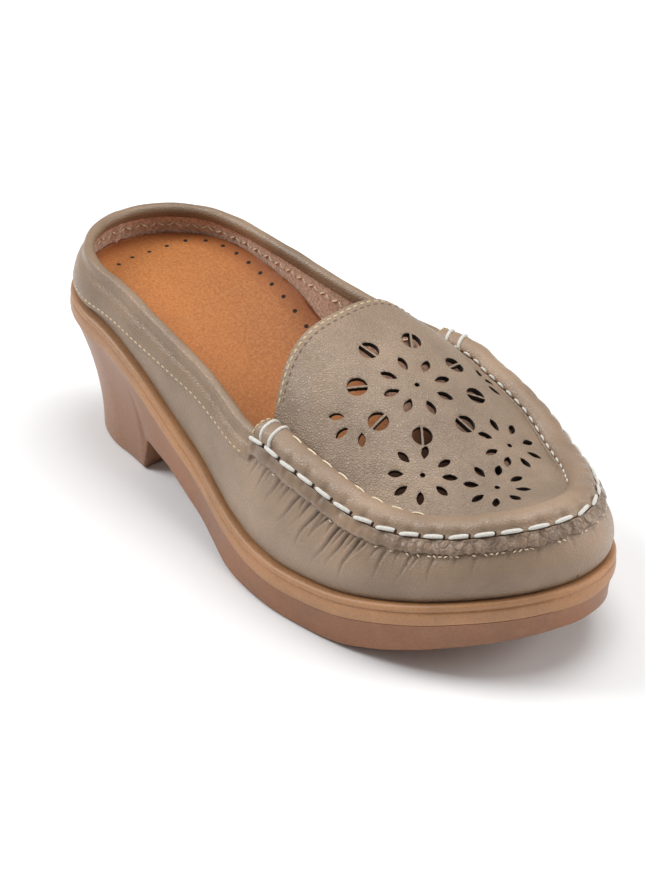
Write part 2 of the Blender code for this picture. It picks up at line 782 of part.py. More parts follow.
def strip_section(index):
    """Flat strip of the vamp's edge below the roll."""
    seam, _, down, _, outward = seam_frame(index)
    clear = 2 * GAP
    face = clear + STRIP_THICKNESS
    low = STRIP_WIDTH - GAP
    return [
        seam + down * STRIP_START + outward * clear,
        seam + down * low + outward * clear,
        seam + down * low + outward * face * 0.8,
        seam + down * (STRIP_START + low) / 2 + outward * face * 1.1,
        seam + down * STRIP_START + outward * face * 0.95,
    ]


def front_indices():
    return range(THROAT_STATION, RING - THROAT_STATION + 1)


def shift_origin(collection):
    """Puts the origin at the middle of the box round the shoe, on the floor."""
    graph = bpy.context.evaluated_depsgraph_get()
    corners = []
    for obj in collection.objects:
        corners += [obj.matrix_world @ Vector(c) for c in obj.evaluated_get(graph).bound_box]
    box = np.array(corners)
    middle = (box.min(axis=0) + box.max(axis=0)) / 2
    return Vector((-middle[0], -middle[1], 0.0))


def main():
    for obj in list(bpy.data.objects):
        bpy.data.objects.remove(obj)
    shoe = bpy.data.collections.new("moccasin_mule")
    cutters = bpy.data.collections.new("cutters")
    bpy.context.scene.collection.children.link(shoe)
    bpy.context.scene.collection.children.link(cutters)

    leather = material("taupe_leather", (0.30, 0.24, 0.185), 0.45)
    footbed = material("tan_footbed", (0.55, 0.24, 0.08), 0.7)
    sole = material("brown_sole", (0.40, 0.22, 0.13), 0.55)
    edge = material("amber_welt", (0.50, 0.26, 0.11), 0.45)

    outsole(shoe, sole)
    welt(shoe, edge)
    insole(shoe, footbed)
    upper(shoe, cutters, leather)
    collar_cuff(shoe, leather)
    swept("apron_roll", [roll_section(i) for i in front_indices()], shoe, leather)
    swept("rim_strip", [strip_section(i) for i in front_indices()], shoe, leather)

    bpy.context.view_layer.update()
    shift = shift_origin(shoe)
    for obj in list(shoe.objects) + list(cutters.objects):
        obj.location = shift


main()
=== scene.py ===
"""Looks of a slip-on moccasin mule: leather, hand stitches, gathers, footbed and wedge sole.

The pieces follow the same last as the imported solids. Every curved piece is a grid primitive
whose vertices are laid on the last's own surface, in metres, and pieces are named as a maker
names them. The last is worked out with its heel at x = 0 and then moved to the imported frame.
"""

import math
import random
from collections import namedtuple

import bmesh
import bpy
import numpy as np
from mathutils import Matrix, Vector
from mathutils.bvhtree import BVHTree


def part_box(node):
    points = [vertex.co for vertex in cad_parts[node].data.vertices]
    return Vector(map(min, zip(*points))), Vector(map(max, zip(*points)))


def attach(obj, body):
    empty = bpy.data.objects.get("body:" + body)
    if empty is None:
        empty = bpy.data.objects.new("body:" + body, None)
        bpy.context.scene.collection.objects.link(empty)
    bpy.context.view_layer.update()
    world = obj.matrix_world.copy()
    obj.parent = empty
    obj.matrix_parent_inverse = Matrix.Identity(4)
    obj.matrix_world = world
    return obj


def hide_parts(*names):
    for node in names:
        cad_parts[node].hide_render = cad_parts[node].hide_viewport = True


MM = 0.001

# Sizes of the last
LAST_LENGTH = 236 * MM
BALL_WIDTH = 95 * MM
SEAT_HEIGHT = 57 * MM
PLATFORM_HEIGHT = 17.5 * MM
TOE_RISE = 17 * MM
TOE_SPRING = 18.5 * MM
ARCH_HEIGHT = 17 * MM
INSTEP_HEIGHT = 19.5 * MM
COLLAR_HEIGHT = 15 * MM
VAMP_HEIGHT = 38 * MM
TOE_WALL_HEIGHT = 20 * MM

# Leather and its overlays
WALL = 2.0 * MM
GAP = 0.35 * MM
SEAM_LAP = 0.8 * MM
APRON_BAND = 9.0 * MM
ROLL_WIDTH = 8.3 * MM
ROLL_HEIGHT = 4.2 * MM
STRIP_WIDTH = 6.4 * MM
STRIP_THICKNESS = 1.3 * MM
CUFF_WIDTH = 13.5 * MM
CUFF_TAPER = 0.42
CUFF_THICKNESS = 1.4 * MM
BEAD_RADIUS = 2.1 * MM
TONGUE_REACH = 8.5 * MM

# Gathers, and the wall's foot where it turns in over the welt; depths and heights of the painted shade
# in the gathers and above the welt
CREASE_END = 5 * MM
CREASE_SHADE_DEPTH = 0.6 * MM
FOOT_HEIGHT = 2.4 * MM
FOOT_TUCK = 0.9 * MM
FOOT_SINK = 0.5 * MM
FOOT_SHADE_HEIGHT = 10 * MM

# Sole unit and footbed
WELT_LEDGE = 2.8 * MM
WELT_HEIGHT = 8 * MM
WELT_DEPTH = 12 * MM
WELT_CREVICE = 0.03 * MM
SOLE_SETBACK = 0.9 * MM
SIDE_CURVE = 1.8
SOLE_EDGE = 1.6 * MM
HEEL_RAKE = 7 * MM
HEEL_TUCK = 10 * MM
INSOLE_THICKNESS = 3.6 * MM
FOOTBED_RISE = 9 * MM

# Perforations
PETAL_LENGTH = 6.0 * MM
PETAL_WIDTH = 2.9 * MM
SMALL_PETAL = 0.88
EYE_RADIUS = 0.9 * MM
DISC_RADIUS = 3.5 * MM
DISC_BAR = 0.8 * MM
RIM_DIP = 0.32 * MM
RIM_REACH = 0.7 * MM

# Threads: length, width and height of one stitch, and how far apart stitches are
Thread = namedtuple("Thread", "length width height pitch")
HAND_THREAD = Thread(7.3 * MM, 1.45 * MM, 1.0 * MM, 8.5 * MM)
NEEDLE_HOLE = Thread(1.1 * MM, 1.5 * MM, 0.6 * MM, HAND_THREAD.pitch)
OUTER_ROLL_THREAD = Thread(4.6 * MM, 0.8 * MM, 0.6 * MM, 7.4 * MM)
INNER_ROLL_THREAD = Thread(3.5 * MM, 1.1 * MM, 0.9 * MM, 4.5 * MM)
ROLL_END_THREAD = Thread(1.9 * MM, 0.6 * MM, 0.5 * MM, 2.4 * MM)
FINE_THREAD = Thread(2.0 * MM, 0.6 * MM, 0.5 * MM, 2.7 * MM)
TONGUE_THREAD = Thread(2.1 * MM, 0.66 * MM, 0.5 * MM, 2.97 * MM)
LINING_THREAD = Thread(2.5 * MM, 0.6 * MM, 0.5 * MM, 3.0 * MM)
STRIP_THREAD = Thread(1.3 * MM, 0.42 * MM, 0.4 * MM, 1.9 * MM)
WRAP_RADIUS = 0.6 * MM
PINHOLE_RADIUS = 0.8 * MM
PINHOLE_PITCH = 7.2 * MM

# Where things are along the last, as shares of its length
HEEL_ARC = 0.14
TOE_ARC = 0.28
THROAT = 0.53
INNER_SEAM = 0.62
BREAST = 0.205
BREAST_TOP = 0.222
ARCH_END = 0.36
CUFF_TUCK = 0.02
TONGUE_FADE = 0.15
TOE_GATHER = 0.84

# Plan of the last: centre line and half width, as shares of the ball width
Plan = namedtuple("Plan", "at centre half")
PLAN = [
    Plan(0.00, 0.005, 0.330),
    Plan(0.14, -0.003, 0.342),
    Plan(0.26, -0.032, 0.350),
    Plan(0.39, -0.053, 0.362),
    Plan(0.51, -0.048, 0.426),
    Plan(0.635, -0.021, 0.486),
    Plan(0.75, 0.004, 0.500),
    Plan(0.87, 0.014, 0.492),
    Plan(1.00, 0.036, 0.480),
]

# Height of the welt's top: shares of the seat's rise over the platform and of the toe's rise
Seat = namedtuple("Seat", "at heel toe")
SEAT = [
    Seat(0.00, 0.995, 0.0),
    Seat(0.08, 1.000, 0.0),
    Seat(0.14, 0.975, 0.0),
    Seat(0.20, 0.910, 0.0),
    Seat(0.26, 0.800, 0.0),
    Seat(0.32, 0.640, 0.0),
    Seat(0.39, 0.440, 0.0),
    Seat(0.45, 0.270, 0.0),
    Seat(0.51, 0.125, 0.0),
    Seat(0.57, 0.030, 0.01),
    Seat(0.635, 0.0, 0.02),
    Seat(0.70, 0.0, 0.08),
    Seat(0.75, 0.0, 0.18),
    Seat(0.81, 0.0, 0.36),
    Seat(0.87, 0.0, 0.56),
    Seat(0.93, 0.0, 0.78),
    Seat(1.00, 0.0, 1.00),
]

# Underside: shares of the arch's height and the toe spring, and tuck of each side
Under = namedtuple("Under", "at arch spring outer_tuck inner_tuck")
UNDER = [
    Under(0.00, 0.00, 0.00, 1.15, 1.15),
    Under(0.14, 0.00, 0.00, 1.25, 1.45),
    Under(BREAST, 0.00, 0.00, 1.17, 1.46),
    Under(BREAST_TOP, 0.78, 0.00, 1.07, 1.44),
    Under(0.26, 1.00, 0.00, 0.76, 1.33),
    Under(0.30, 0.97, 0.00, 0.54, 1.08),
    Under(0.35, 0.76, 0.00, 0.40, 0.80),
    Under(0.40, 0.50, 0.00, 0.30, 0.60),
    Under(0.45, 0.24, 0.00, 0.20, 0.42),
    Under(0.50, 0.04, 0.00, 0.11, 0.25),
    Under(0.53, 0.00, 0.00, 0.07, 0.15),
    Under(0.62, 0.00, 0.00, 0.02, 0.05),
    Under(0.70, 0.00, 0.00, 0.08, 0.08),
    Under(0.745, 0.00, 0.035, 0.14, 0.12),
    Under(0.80, 0.00, 0.19, 0.18, 0.15),
    Under(0.87, 0.00, 0.46, 0.18, 0.15),
    Under(0.93, 0.00, 0.72, 0.14, 0.14),
    Under(1.00, 0.00, 1.00, 0.10, 0.10),
]

# Wall of the upper: its height as shares of collar, vamp and toe, and how far its top edge
# lies inside the feather line and its middle swells, as shares of the ball width
Wall = namedtuple("Wall", "at collar vamp toe outer_lean inner_lean inner_lift swell")
WALLS = [
    Wall(0.00, 1.00, 0.00, 0.00, 0.030, 0.030, 0.00, 0.006),
    Wall(0.10, 0.98, 0.00, 0.00, 0.028, 0.020, 0.00, 0.008),
    Wall(0.20, 0.95, 0.08, 0.00, 0.024, 0.005, 0.02, 0.012),
    Wall(0.26, 0.76, 0.22, 0.00, 0.022, -0.012, 0.05, 0.014),
    Wall(0.33, 0.42, 0.48, 0.00, 0.022, -0.030, 0.08, 0.014),
    Wall(0.39, 0.20, 0.67, 0.00, 0.024, -0.050, 0.10, 0.014),
    Wall(0.45, 0.06, 0.80, 0.00, 0.028, -0.068, 0.13, 0.016),
    Wall(0.52, 0.00, 0.90, 0.00, 0.034, -0.074, 0.15, 0.022),
    Wall(0.58, 0.00, 0.98, 0.00, 0.042, -0.060, 0.13, 0.028),
    Wall(0.64, 0.00, 0.93, 0.02, 0.046, -0.034, 0.11, 0.032),
    Wall(0.70, 0.00, 0.72, 0.24, 0.050, -0.006, 0.09, 0.034),
    Wall(0.75, 0.00, 0.48, 0.48, 0.058, 0.020, 0.08, 0.032),
    Wall(0.81, 0.00, 0.20, 0.78, 0.072, 0.040, 0.06, 0.030),
    Wall(0.87, 0.00, 0.04, 0.96, 0.080, 0.050, 0.05, 0.028),
    Wall(0.93, 0.00, 0.00, 1.00, 0.076, 0.062, 0.04, 0.028),
    Wall(1.00, 0.00, 0.00, 1.06, 0.060, 0.060, 0.00, 0.028),
]

# Rise of the apron's ridge over its two edges, as shares of the instep height, and how boxy
# its cross-section is
Crown = namedtuple("Crown", "at rise boxy")
CROWNS = [
    Crown(0.53, 1.00, 3.4),
    Crown(0.60, 0.86, 2.9),
    Crown(0.70, 0.64, 2.4),
    Crown(0.81, 0.40, 2.1),
    Crown(0.90, 0.15, 2.0),
    Crown(1.00, 0.00, 2.0),
]

# Footbed: how far its two edges stand above its middle, as shares of the footbed's rise
Bed = namedtuple("Bed", "at outer inner")
BEDS = [
    Bed(0.00, 0.10, 0.10),
    Bed(0.10, 0.14, 0.24),
    Bed(0.20, 0.18, 0.62),
    Bed(0.30, 0.20, 1.00),
    Bed(0.37, 0.20, 1.00),
    Bed(0.46, 0.16, 0.70),
    Bed(0.56, 0.10, 0.30),
    Bed(0.66, 0.05, 0.08),
    Bed(0.80, 0.00, 0.00),
    Bed(1.00, 0.00, 0.00),
]

# Flowers punched in the apron: place along the last, place across and ring in shares, turn
# in degrees
Flower = namedtuple("Flower", "at across ring scale turn")
FLOWERS = [
    Flower(0.661, 0.038, 0.104, 1.0, -10),
    Flower(0.770, -0.172, 0.094, SMALL_PETAL, 0),
    Flower(0.788, 0.196, 0.094, SMALL_PETAL, 0),
    Flower(0.848, 0.000, 0.090, SMALL_PETAL, 0),
]
PETALS = 8
DISC_RING = 0.216
DISCS = 8

# Three-petal sprays beside the first flower; facing is where the middle petal points
Spray = namedtuple("Spray", "at across ring facing")
SPRAYS = [
    Spray(0.655, -0.200, 0.092, -90),
    Spray(0.672, 0.310, 0.066, 90),
]
SPRAY_ANGLES = (-45, 0, 45)

# Creases hanging from the rim strip: place along the front edge as a share from its outer
# end to its inner end, length down the wall, depth and width in millimetres, and slant
# towards the toe as a share of the length
Crease = namedtuple("Crease", "place length depth width slant")
CREASES = [
    Crease(0.018, 6, 0.30, 0.7, -0.2),
    Crease(0.031, 9, 0.50, 0.6, -0.3),
    Crease(0.041, 5, 0.35, 0.5, -0.2),
    Crease(0.052, 11, 0.60, 0.6, -0.4),
    Crease(0.061, 6, 0.40, 0.5, -0.5),
    Crease(0.078, 13, 0.65, 0.7, -0.35),
    Crease(0.088, 7, 0.50, 0.5, -0.5),
    Crease(0.096, 10, 0.60, 0.6, -0.3),
    Crease(0.119, 17, 0.80, 0.7, -0.55),
    Crease(0.127, 8, 0.60, 0.5, -0.3),
    Crease(0.137, 12, 0.75, 0.6, -0.5),
    Crease(0.155, 19, 0.90, 0.7, -0.5),
    Crease(0.163, 9, 0.70, 0.5, -0.35),
    Crease(0.171, 14, 0.85, 0.6, -0.6),
    Crease(0.180, 7, 0.55, 0.5, -0.2),
    Crease(0.192, 20, 1.00, 0.7, -0.45),
    Crease(0.200, 11, 0.80, 0.5, -0.55),
    Crease(0.207, 16, 0.95, 0.6, -0.4),
    Crease(0.216, 8, 0.70, 0.5, -0.5),
    Crease(0.224, 18, 1.00, 0.7, -0.35),
    Crease(0.233, 10, 0.75, 0.5, -0.5),
    Crease(0.250, 6, 0.45, 0.5, -0.3),
    Crease(0.262, 12, 0.60, 0.7, -0.3),
    Crease(0.278, 5, 0.35, 0.5, -0.2),
    Crease(0.295, 10, 0.50, 0.6, -0.3),
    Crease(0.304, 6, 0.40, 0.5, -0.4),
    Crease(0.325, 9, 0.45, 0.6, -0.2),
    Crease(0.352, 5, 0.30, 0.6, -0.2),
    Crease(0.376, 7, 0.32, 0.7, -0.1),
    Crease(0.415, 5, 0.25, 0.7, -0.1),
    Crease(0.450, 6, 0.26, 0.8, 0.0),
    Crease(0.492, 5, 0.24, 0.7, 0.0),
    Crease(0.530, 6, 0.26, 0.8, 0.1),
    Crease(0.566, 5, 0.25, 0.7, 0.1),
    Crease(0.598, 8, 0.35, 0.7, 0.2),
    Crease(0.622, 6, 0.35, 0.6, 0.2),
    Crease(0.648, 11, 0.55, 0.7, 0.3),
    Crease(0.660, 6, 0.40, 0.5, 0.4),
    Crease(0.681, 14, 0.70, 0.7, 0.35),
    Crease(0.691, 8, 0.50, 0.5, 0.5),
    Crease(0.713, 17, 0.80, 0.7, 0.4),
    Crease(0.722, 9, 0.60, 0.5, 0.3),
    Crease(0.732, 12, 0.70, 0.6, 0.5),
    Crease(0.754, 19, 0.90, 0.7, 0.4),
    Crease(0.763, 10, 0.65, 0.5, 0.5),
    Crease(0.773, 15, 0.80, 0.6, 0.35),
    Crease(0.792, 8, 0.50, 0.5, 0.3),
    Crease(0.806, 13, 0.65, 0.7, 0.4),
    Crease(0.833, 7, 0.40, 0.5, 0.3),
    Crease(0.850, 11, 0.50, 0.6, 0.3),
    Crease(0.884, 6, 0.32, 0.6, 0.2),
    Crease(0.912, 9, 0.40, 0.6, 0.3),
    Crease(0.948, 6, 0.28, 0.6, 0.2),
]

RING_POINTS = 560
VAMP_STEP = 0.36 * MM
QUARTER_STEP = 1.2 * MM
WALL_ROWS = 50
APRON_STATIONS = 150
APRON_COLUMNS = 130
FOOTBED_GRID = (170, 60)

# Camera: the photo's direction and tilt to this shoe, with a lens that frames the one shoe
CAMERA_AZIMUTH = 45.396
CAMERA_ELEVATION = 28.453
CAMERA_ROLL = 3.022
CAMERA_DISTANCE = 1.8587
CAMERA_OFFSET = (-0.077663, -0.055599)
CAMERA_CENTRE = (0.120, 0.0, 0.040)
CAMERA_AIM = (0.116, -0.002, 0.036)
CAMERA_LENS = 228.0

# Studio lamps: where they stand, size of the panel, power and colour; all face one spot
Lamp = namedtuple("Lamp", "name place size power colour")
LAMPS = [
    Lamp("overhead", (0.1, 0.2, 1.5), (1.1, 1.1), 15.0, (1.0, 1.0, 1.0)),
    Lamp("heel_side", (-0.95, -0.75, 1.15), (0.8, 0.6), 17.0, (0.95, 0.98, 1.0)),
    Lamp("toe_side", (1.0, 1.1, 0.8), (0.8, 0.6), 9.5, (1.0, 1.0, 1.0)),
]
LAMP_AIM = (0, 0, 0.04)
SURROUND = 0.36


def smooth(table, column, at):
    """A column of a table on a smooth curve that keeps flat stretches flat."""
    knots = np.array([row.at for row in table])
    values = np.array([getattr(row, column) for row in table])
    steps = np.diff(values) / np.diff(knots)
    before, after = steps[:-1], steps[1:]
    level = before * after <= 0
    total = np.where(level, 1.0, before + after)
    slopes = np.concatenate([steps[:1], np.where(level, 0.0, 2 * before * after / total), steps[-1:]])
    at = np.clip(np.asarray(at, float), knots[0], knots[-1])
    i = np.clip(np.searchsorted(knots, at, side="right") - 1, 0, len(steps) - 1)
    width = knots[i + 1] - knots[i]
    t = (at - knots[i]) / width
    return (
        (2 * t**3 - 3 * t**2 + 1) * values[i]
        + (t**3 - 2 * t**2 + t) * width * slopes[i]
        + (3 * t**2 - 2 * t**3) * values[i + 1]
        + (t**3 - t**2) * width * slopes[i + 1]
    )


def roundness(at):
    """Share of the half width left where the outline closes round heel and toe."""
    heel = np.clip(1 - at / HEEL_ARC, 0, 1)
    toe = np.clip((at - 1 + TOE_ARC) / TOE_ARC, 0, 1)
    return np.sqrt(np.clip(1 - heel**2 - toe**2, 0, 1))


def unit(vectors):
    return vectors / np.linalg.norm(vectors, axis=-1, keepdims=True)


def welt_top(at):
    heel = smooth(SEAT, "heel", at) * (SEAT_HEIGHT - PLATFORM_HEIGHT)
    return PLATFORM_HEIGHT + heel + smooth(SEAT, "toe", at) * TOE_RISE


def sole_bottom(at):
    return smooth(UNDER, "arch", at) * ARCH_HEIGHT + smooth(UNDER, "spring", at) * TOE_SPRING


class Ring:
    """Points round the feather line, from the heel's back along the outer side.

    Without front and back steps they are even; with them they lie closer round the front.
    """

    def __init__(self, count=0, front_step=0.0, back_step=0.0):
        turn = np.linspace(0, 2, 8001)
        side = np.where(turn <= 1, -1.0, 1.0)
        at = (1 - np.cos(math.pi * turn)) / 2
        spots = self.spots(at, side)
        steps = np.linalg.norm(np.diff(spots, axis=0), axis=1)
        if front_step:
            share = np.clip((at[1:] - THROAT + 0.03) / 0.03, 0, 1)
            steps = steps / (back_step * (1 - share) + front_step * share)
            count = int(steps.sum())
        walked = np.concatenate([[0], np.cumsum(steps)])
        even = np.interp(np.linspace(0, walked[-1], count, endpoint=False), walked, turn)
        self.count = count
        self.side = np.where(even <= 1, -1.0, 1.0)
        self.at = (1 - np.cos(math.pi * even)) / 2
        self.spot = self.spots(self.at, self.side)
        fine = unit(np.gradient(spots, axis=0))
        along = unit(np.stack([np.interp(even, turn[1:-1], fine[1:-1, k]) for k in range(2)], axis=1))
        self.inward = np.stack([-along[:, 1], along[:, 0]], axis=1)
        self.blend = (1 + self.side * roundness(self.at)) / 2

    @staticmethod
    def spots(at, side):
        centre = smooth(PLAN, "centre", at) * BALL_WIDTH
        half = smooth(PLAN, "half", at) * BALL_WIDTH * roundness(at)
        return np.stack([at * LAST_LENGTH, centre + side * half], axis=1)

    def between(self, outer, inner):
        return outer * (1 - self.blend) + inner * self.blend

    def inset(self, distance, height):
        """Ring points moved in from the feather line, with a height that goes by x."""
        xy = self.spot + self.inward * np.broadcast_to(distance, self.count)[:, None]
        return np.column_stack([xy, height(xy[:, 0] / LAST_LENGTH)])


RING = Ring(RING_POINTS)
VAMP_RING = Ring(front_step=VAMP_STEP, back_step=QUARTER_STEP)


def wall_height(ring):
    lift = smooth(WALLS, "inner_lift", ring.at) * ring.blend
    return (
        smooth(WALLS, "collar", ring.at) * COLLAR_HEIGHT
        + (smooth(WALLS, "vamp", ring.at) + lift) * VAMP_HEIGHT
        + smooth(WALLS, "toe", ring.at) * TOE_WALL_HEIGHT
    )


def seam_lap(ring):
    """Where the quarter laps over the vamp on the inner side, as a share of the lap."""
    behind = 1 / (1 + np.exp((ring.at - INNER_SEAM) / 0.0018))
    ahead = 1 / (1 + np.exp(-(ring.at - THROAT) / 0.012))
    return behind * ahead * (ring.side > 0)


def wall_row(ring, share):
    """Outer surface of the wall at one share of its height: 0 feather line, 1 top edge."""
    share = np.broadcast_to(share, ring.count)
    lean = ring.between(smooth(WALLS, "outer_lean", ring.at), smooth(WALLS, "inner_lean", ring.at))
    swell = smooth(WALLS, "swell", ring.at)
    inset = (lean * share**1.6 - swell * np.sin(math.pi * share**0.85)) * BALL_WIDTH
    inset = inset - SEAM_LAP * np.minimum(1, share * 4) * seam_lap(ring)
    xy = ring.spot + ring.inward * inset[:, None]
    return np.column_stack([xy, welt_top(ring.at) + GAP + share * wall_height(ring)])


def grid_normals(grid, closed):
    """Outward normals of a grid whose columns run round the shoe and rows run up."""
    if closed:
        along = np.roll(grid, -1, axis=1) - np.roll(grid, 1, axis=1)
    else:
        along = np.gradient(grid, axis=1)
    return unit(np.cross(along, np.gradient(grid, axis=0)))


def front_range(ring):
    """Ring points from the roll's outer end round the toe to its inner end."""
    return np.flatnonzero(ring.at >= THROAT)


def collar_range(ring):
    """Ring points from the roll's inner end round the heel to its outer end."""
    back = np.flatnonzero(ring.at <= THROAT + CUFF_TUCK)
    split = np.flatnonzero(np.diff(back) > 1)[0] + 1
    return np.concatenate([back[split:], back[:split]])


class Frame:
    """Seam line at the top of the wall with its directions."""

    def __init__(self, ring):
        top = wall_row(ring, 1.0)
        height = wall_height(ring)
        below = wall_row(ring, 1 - STRIP_WIDTH / height)
        edge = self.band_edge(ring, top)
        along = unit(np.roll(top, -1, axis=0) - np.roll(top, 1, axis=0))
        self.seam = top
        self.edge = edge
        self.over = unit(edge - top)
        self.down = unit(below - top)
        self.along = along
        above = unit(np.cross(self.over, along))
        self.above = above * np.sign(above[:, 2:3])
        self.outward = unit(np.cross(along, -self.down))

    @staticmethod
    def band_edge(ring, top):
        """Where the apron's flat band ends, inside the seam."""
        xy = top[:, :2] + ring.inward * APRON_BAND
        lift = APRON_BAND * 0.34 * (0.25 + 0.75 * smooth(CROWNS, "rise", ring.at))
        return np.column_stack([xy, top[:, 2] + lift])


FRAME = Frame(RING)


def side_lines(line):
    """A ring line split into its outer and inner halves, each from the heel to the toe."""
    middle = RING.count // 2
    outer = line[: middle + 1]
    inner = np.concatenate([line[:1], line[:middle - 1:-1]])
    return outer, inner


def resample(line, key, wanted):
    """Points of a line at wanted values of a key that grows along it."""
    order = np.argsort(key)
    return np.stack([np.interp(wanted, key[order], line[order, k]) for k in range(3)], axis=1)


def apron_grid(stations, columns):
    """Rows across the apron from the outer to the inner band edge, columns to the toe."""
    outer, inner = side_lines(FRAME.edge)
    at_outer, at_inner = side_lines(RING.at[:, None])
    at = THROAT + (1 - THROAT) * np.sin(np.linspace(0, 1, stations) * math.pi / 2)
    left = resample(outer, at_outer[:, 0], at)
    right = resample(inner, at_inner[:, 0], at)
    across = np.linspace(0, 1, columns)[:, None]
    boxy = smooth(CROWNS, "boxy", at)[None]
    rise = smooth(CROWNS, "rise", at)[None] * INSTEP_HEIGHT
    fade = np.clip(1 - (at - THROAT) / TONGUE_FADE, 0, 1)[None] ** 1.5
    arch = 1 - np.abs(2 * across - 1) ** boxy
    back = TONGUE_REACH * fade * (1 - np.abs(2 * across - 1) ** 3)
    grid = left[None] + (right - left)[None] * across[..., None]
    grid[..., 0] -= back
    grid[..., 2] += rise * arch + 0.25 * back
    return grid


def moved(points):
    """From the last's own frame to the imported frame."""
    return np.asarray(points) + SHIFT


def deselect():
    bpy.ops.object.select_all(action="DESELECT")


def select(pieces):
    """Selects the pieces alone, the first of them active."""
    deselect()
    for piece in pieces:
        piece.select_set(True)
    bpy.context.view_layer.objects.active = pieces[0]


def join(name, pieces):
    select(pieces)
    bpy.ops.object.join()
    pieces[0].name = name
    return pieces[0]


def grid_piece(name, grid, closed=False, painted_shade=None):
    """A grid primitive laid on rows of points; a closed grid is welded round the shoe.

    The painted shade values, 0 to 1, tell the leather where shade is painted on it.
    """
    if closed:
        grid = np.concatenate([grid, grid[:, :1]], axis=1)
    rows, columns = grid.shape[:2]
    deselect()
    bpy.ops.mesh.primitive_grid_add(x_subdivisions=columns - 1, y_subdivisions=rows - 1, size=1)
    piece = bpy.context.object
    piece.name = name
    piece.data.vertices.foreach_set("co", moved(grid).reshape(-1))
    piece.data.update()
    if painted_shade is not None:
        if closed:
            painted_shade = np.concatenate([painted_shade, painted_shade[:, :1]], axis=1)
        marks = piece.data.attributes.new("painted_shade", "FLOAT", "POINT")
        marks.data.foreach_set("value", painted_shade.astype(np.float32).reshape(-1))
    if closed:
        weld(piece)
    bpy.ops.object.shade_smooth()
    return piece


def weld(piece):
    bpy.context.view_layer.objects.active = piece
    bpy.ops.object.mode_set(mode="EDIT")
    bpy.ops.mesh.select_all(action="SELECT")
    bpy.ops.mesh.remove_doubles(threshold=0.00001)
    bpy.ops.object.mode_set(mode="OBJECT")


def face_out(piece):
    """Closes any open ends and turns all faces outwards."""
    bpy.context.view_layer.objects.active = piece
    bpy.ops.object.mode_set(mode="EDIT")
    bpy.ops.mesh.select_all(action="SELECT")
    bpy.ops.mesh.remove_doubles(threshold=0.00001)
    bpy.ops.mesh.fill_holes(sides=0)
    bpy.ops.mesh.select_all(action="SELECT")
    bpy.ops.mesh.normals_make_consistent(inside=False)
    bpy.ops.object.mode_set(mode="OBJECT")


def apply_modifiers(piece):
    bpy.context.view_layer.objects.active = piece
    for modifier in list(piece.modifiers):
        bpy.ops.object.modifier_apply(modifier=modifier.name)


def soften(piece):
    """Rounds the piece by one step of subdivision."""
    soft = piece.modifiers.new("soft", "SUBSURF")
    soft.levels = 1
    soft.render_levels = 1
    apply_modifiers(piece)
    piece.data.shade_smooth()


def thicken(piece, thickness, lining=0):
    """Gives a sheet its thickness inwards; its underside takes a later material."""
    wall = piece.modifiers.new("wall", "SOLIDIFY")
    wall.thickness = thickness
    wall.offset = -1
    wall.material_offset = lining


def round_edge(piece, width, segments):
    edge = piece.modifiers.new("rounded edge", "BEVEL")
    edge.width = width
    edge.segments = segments
    edge.limit_method = "ANGLE"
    edge.angle_limit = math.radians(60)


def surface_tree(piece):
    """The piece's surface, ready for rays to be cast at it."""
    bm = bmesh.new()
    bm.from_mesh(piece.data)
    tree = BVHTree.FromBMesh(bm)
    bm.free()
    return tree


def place(piece, slot, *nodes):
    """Rides the piece on the shoe and hides the solids it stands for."""
    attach(piece, "root")
    if nodes:
        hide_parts(*nodes)
    return piece


def paint(piece, *materials):
    piece.data.materials.clear()
    for material in materials:
        piece.data.materials.append(material)
    return piece


def crease_depth(walked, drop):
    """How far the vamp falls in, by the way along the front edge and the drop below it."""
    depth = np.zeros(drop.shape)
    for crease in CREASES:
        fall = np.clip(drop / (crease.length * MM), 0, 1)
        wander = 0.8 * MM * np.sin(drop / (2.6 * MM) + crease.place * 90)
        centre = crease.place * FRONT_LENGTH + crease.slant * drop + wander * fall
        off = (walked - centre) / (crease.width * MM * (1 - 0.35 * fall))
        near = np.exp(-(off**2))
        puff = 0.26 + 0.16 * math.sin(crease.place * 170)
        ridges = puff * (np.exp(-((off - 2.0) ** 2) / 1.6) + np.exp(-((off + 2.0) ** 2) / 1.6))
        strength = (1 - fall) ** 1.2 * np.clip(0.5 + drop / (2 * MM), 0, 1)
        depth += crease.depth * MM * (near - ridges) * strength
    return depth


def front_walk(ring):
    """Way along the front seam of every ring point, from the roll's outer end; else -1."""
    walked = np.full(ring.count, -1.0)
    front = front_range(ring)
    seam = wall_row(ring, 1.0)[front]
    steps = np.linalg.norm(np.diff(seam, axis=0), axis=1)
    walked[front] = np.concatenate([[0], np.cumsum(steps)])
    return walked


WALKED = front_walk(RING)
FRONT_LENGTH = WALKED.max()


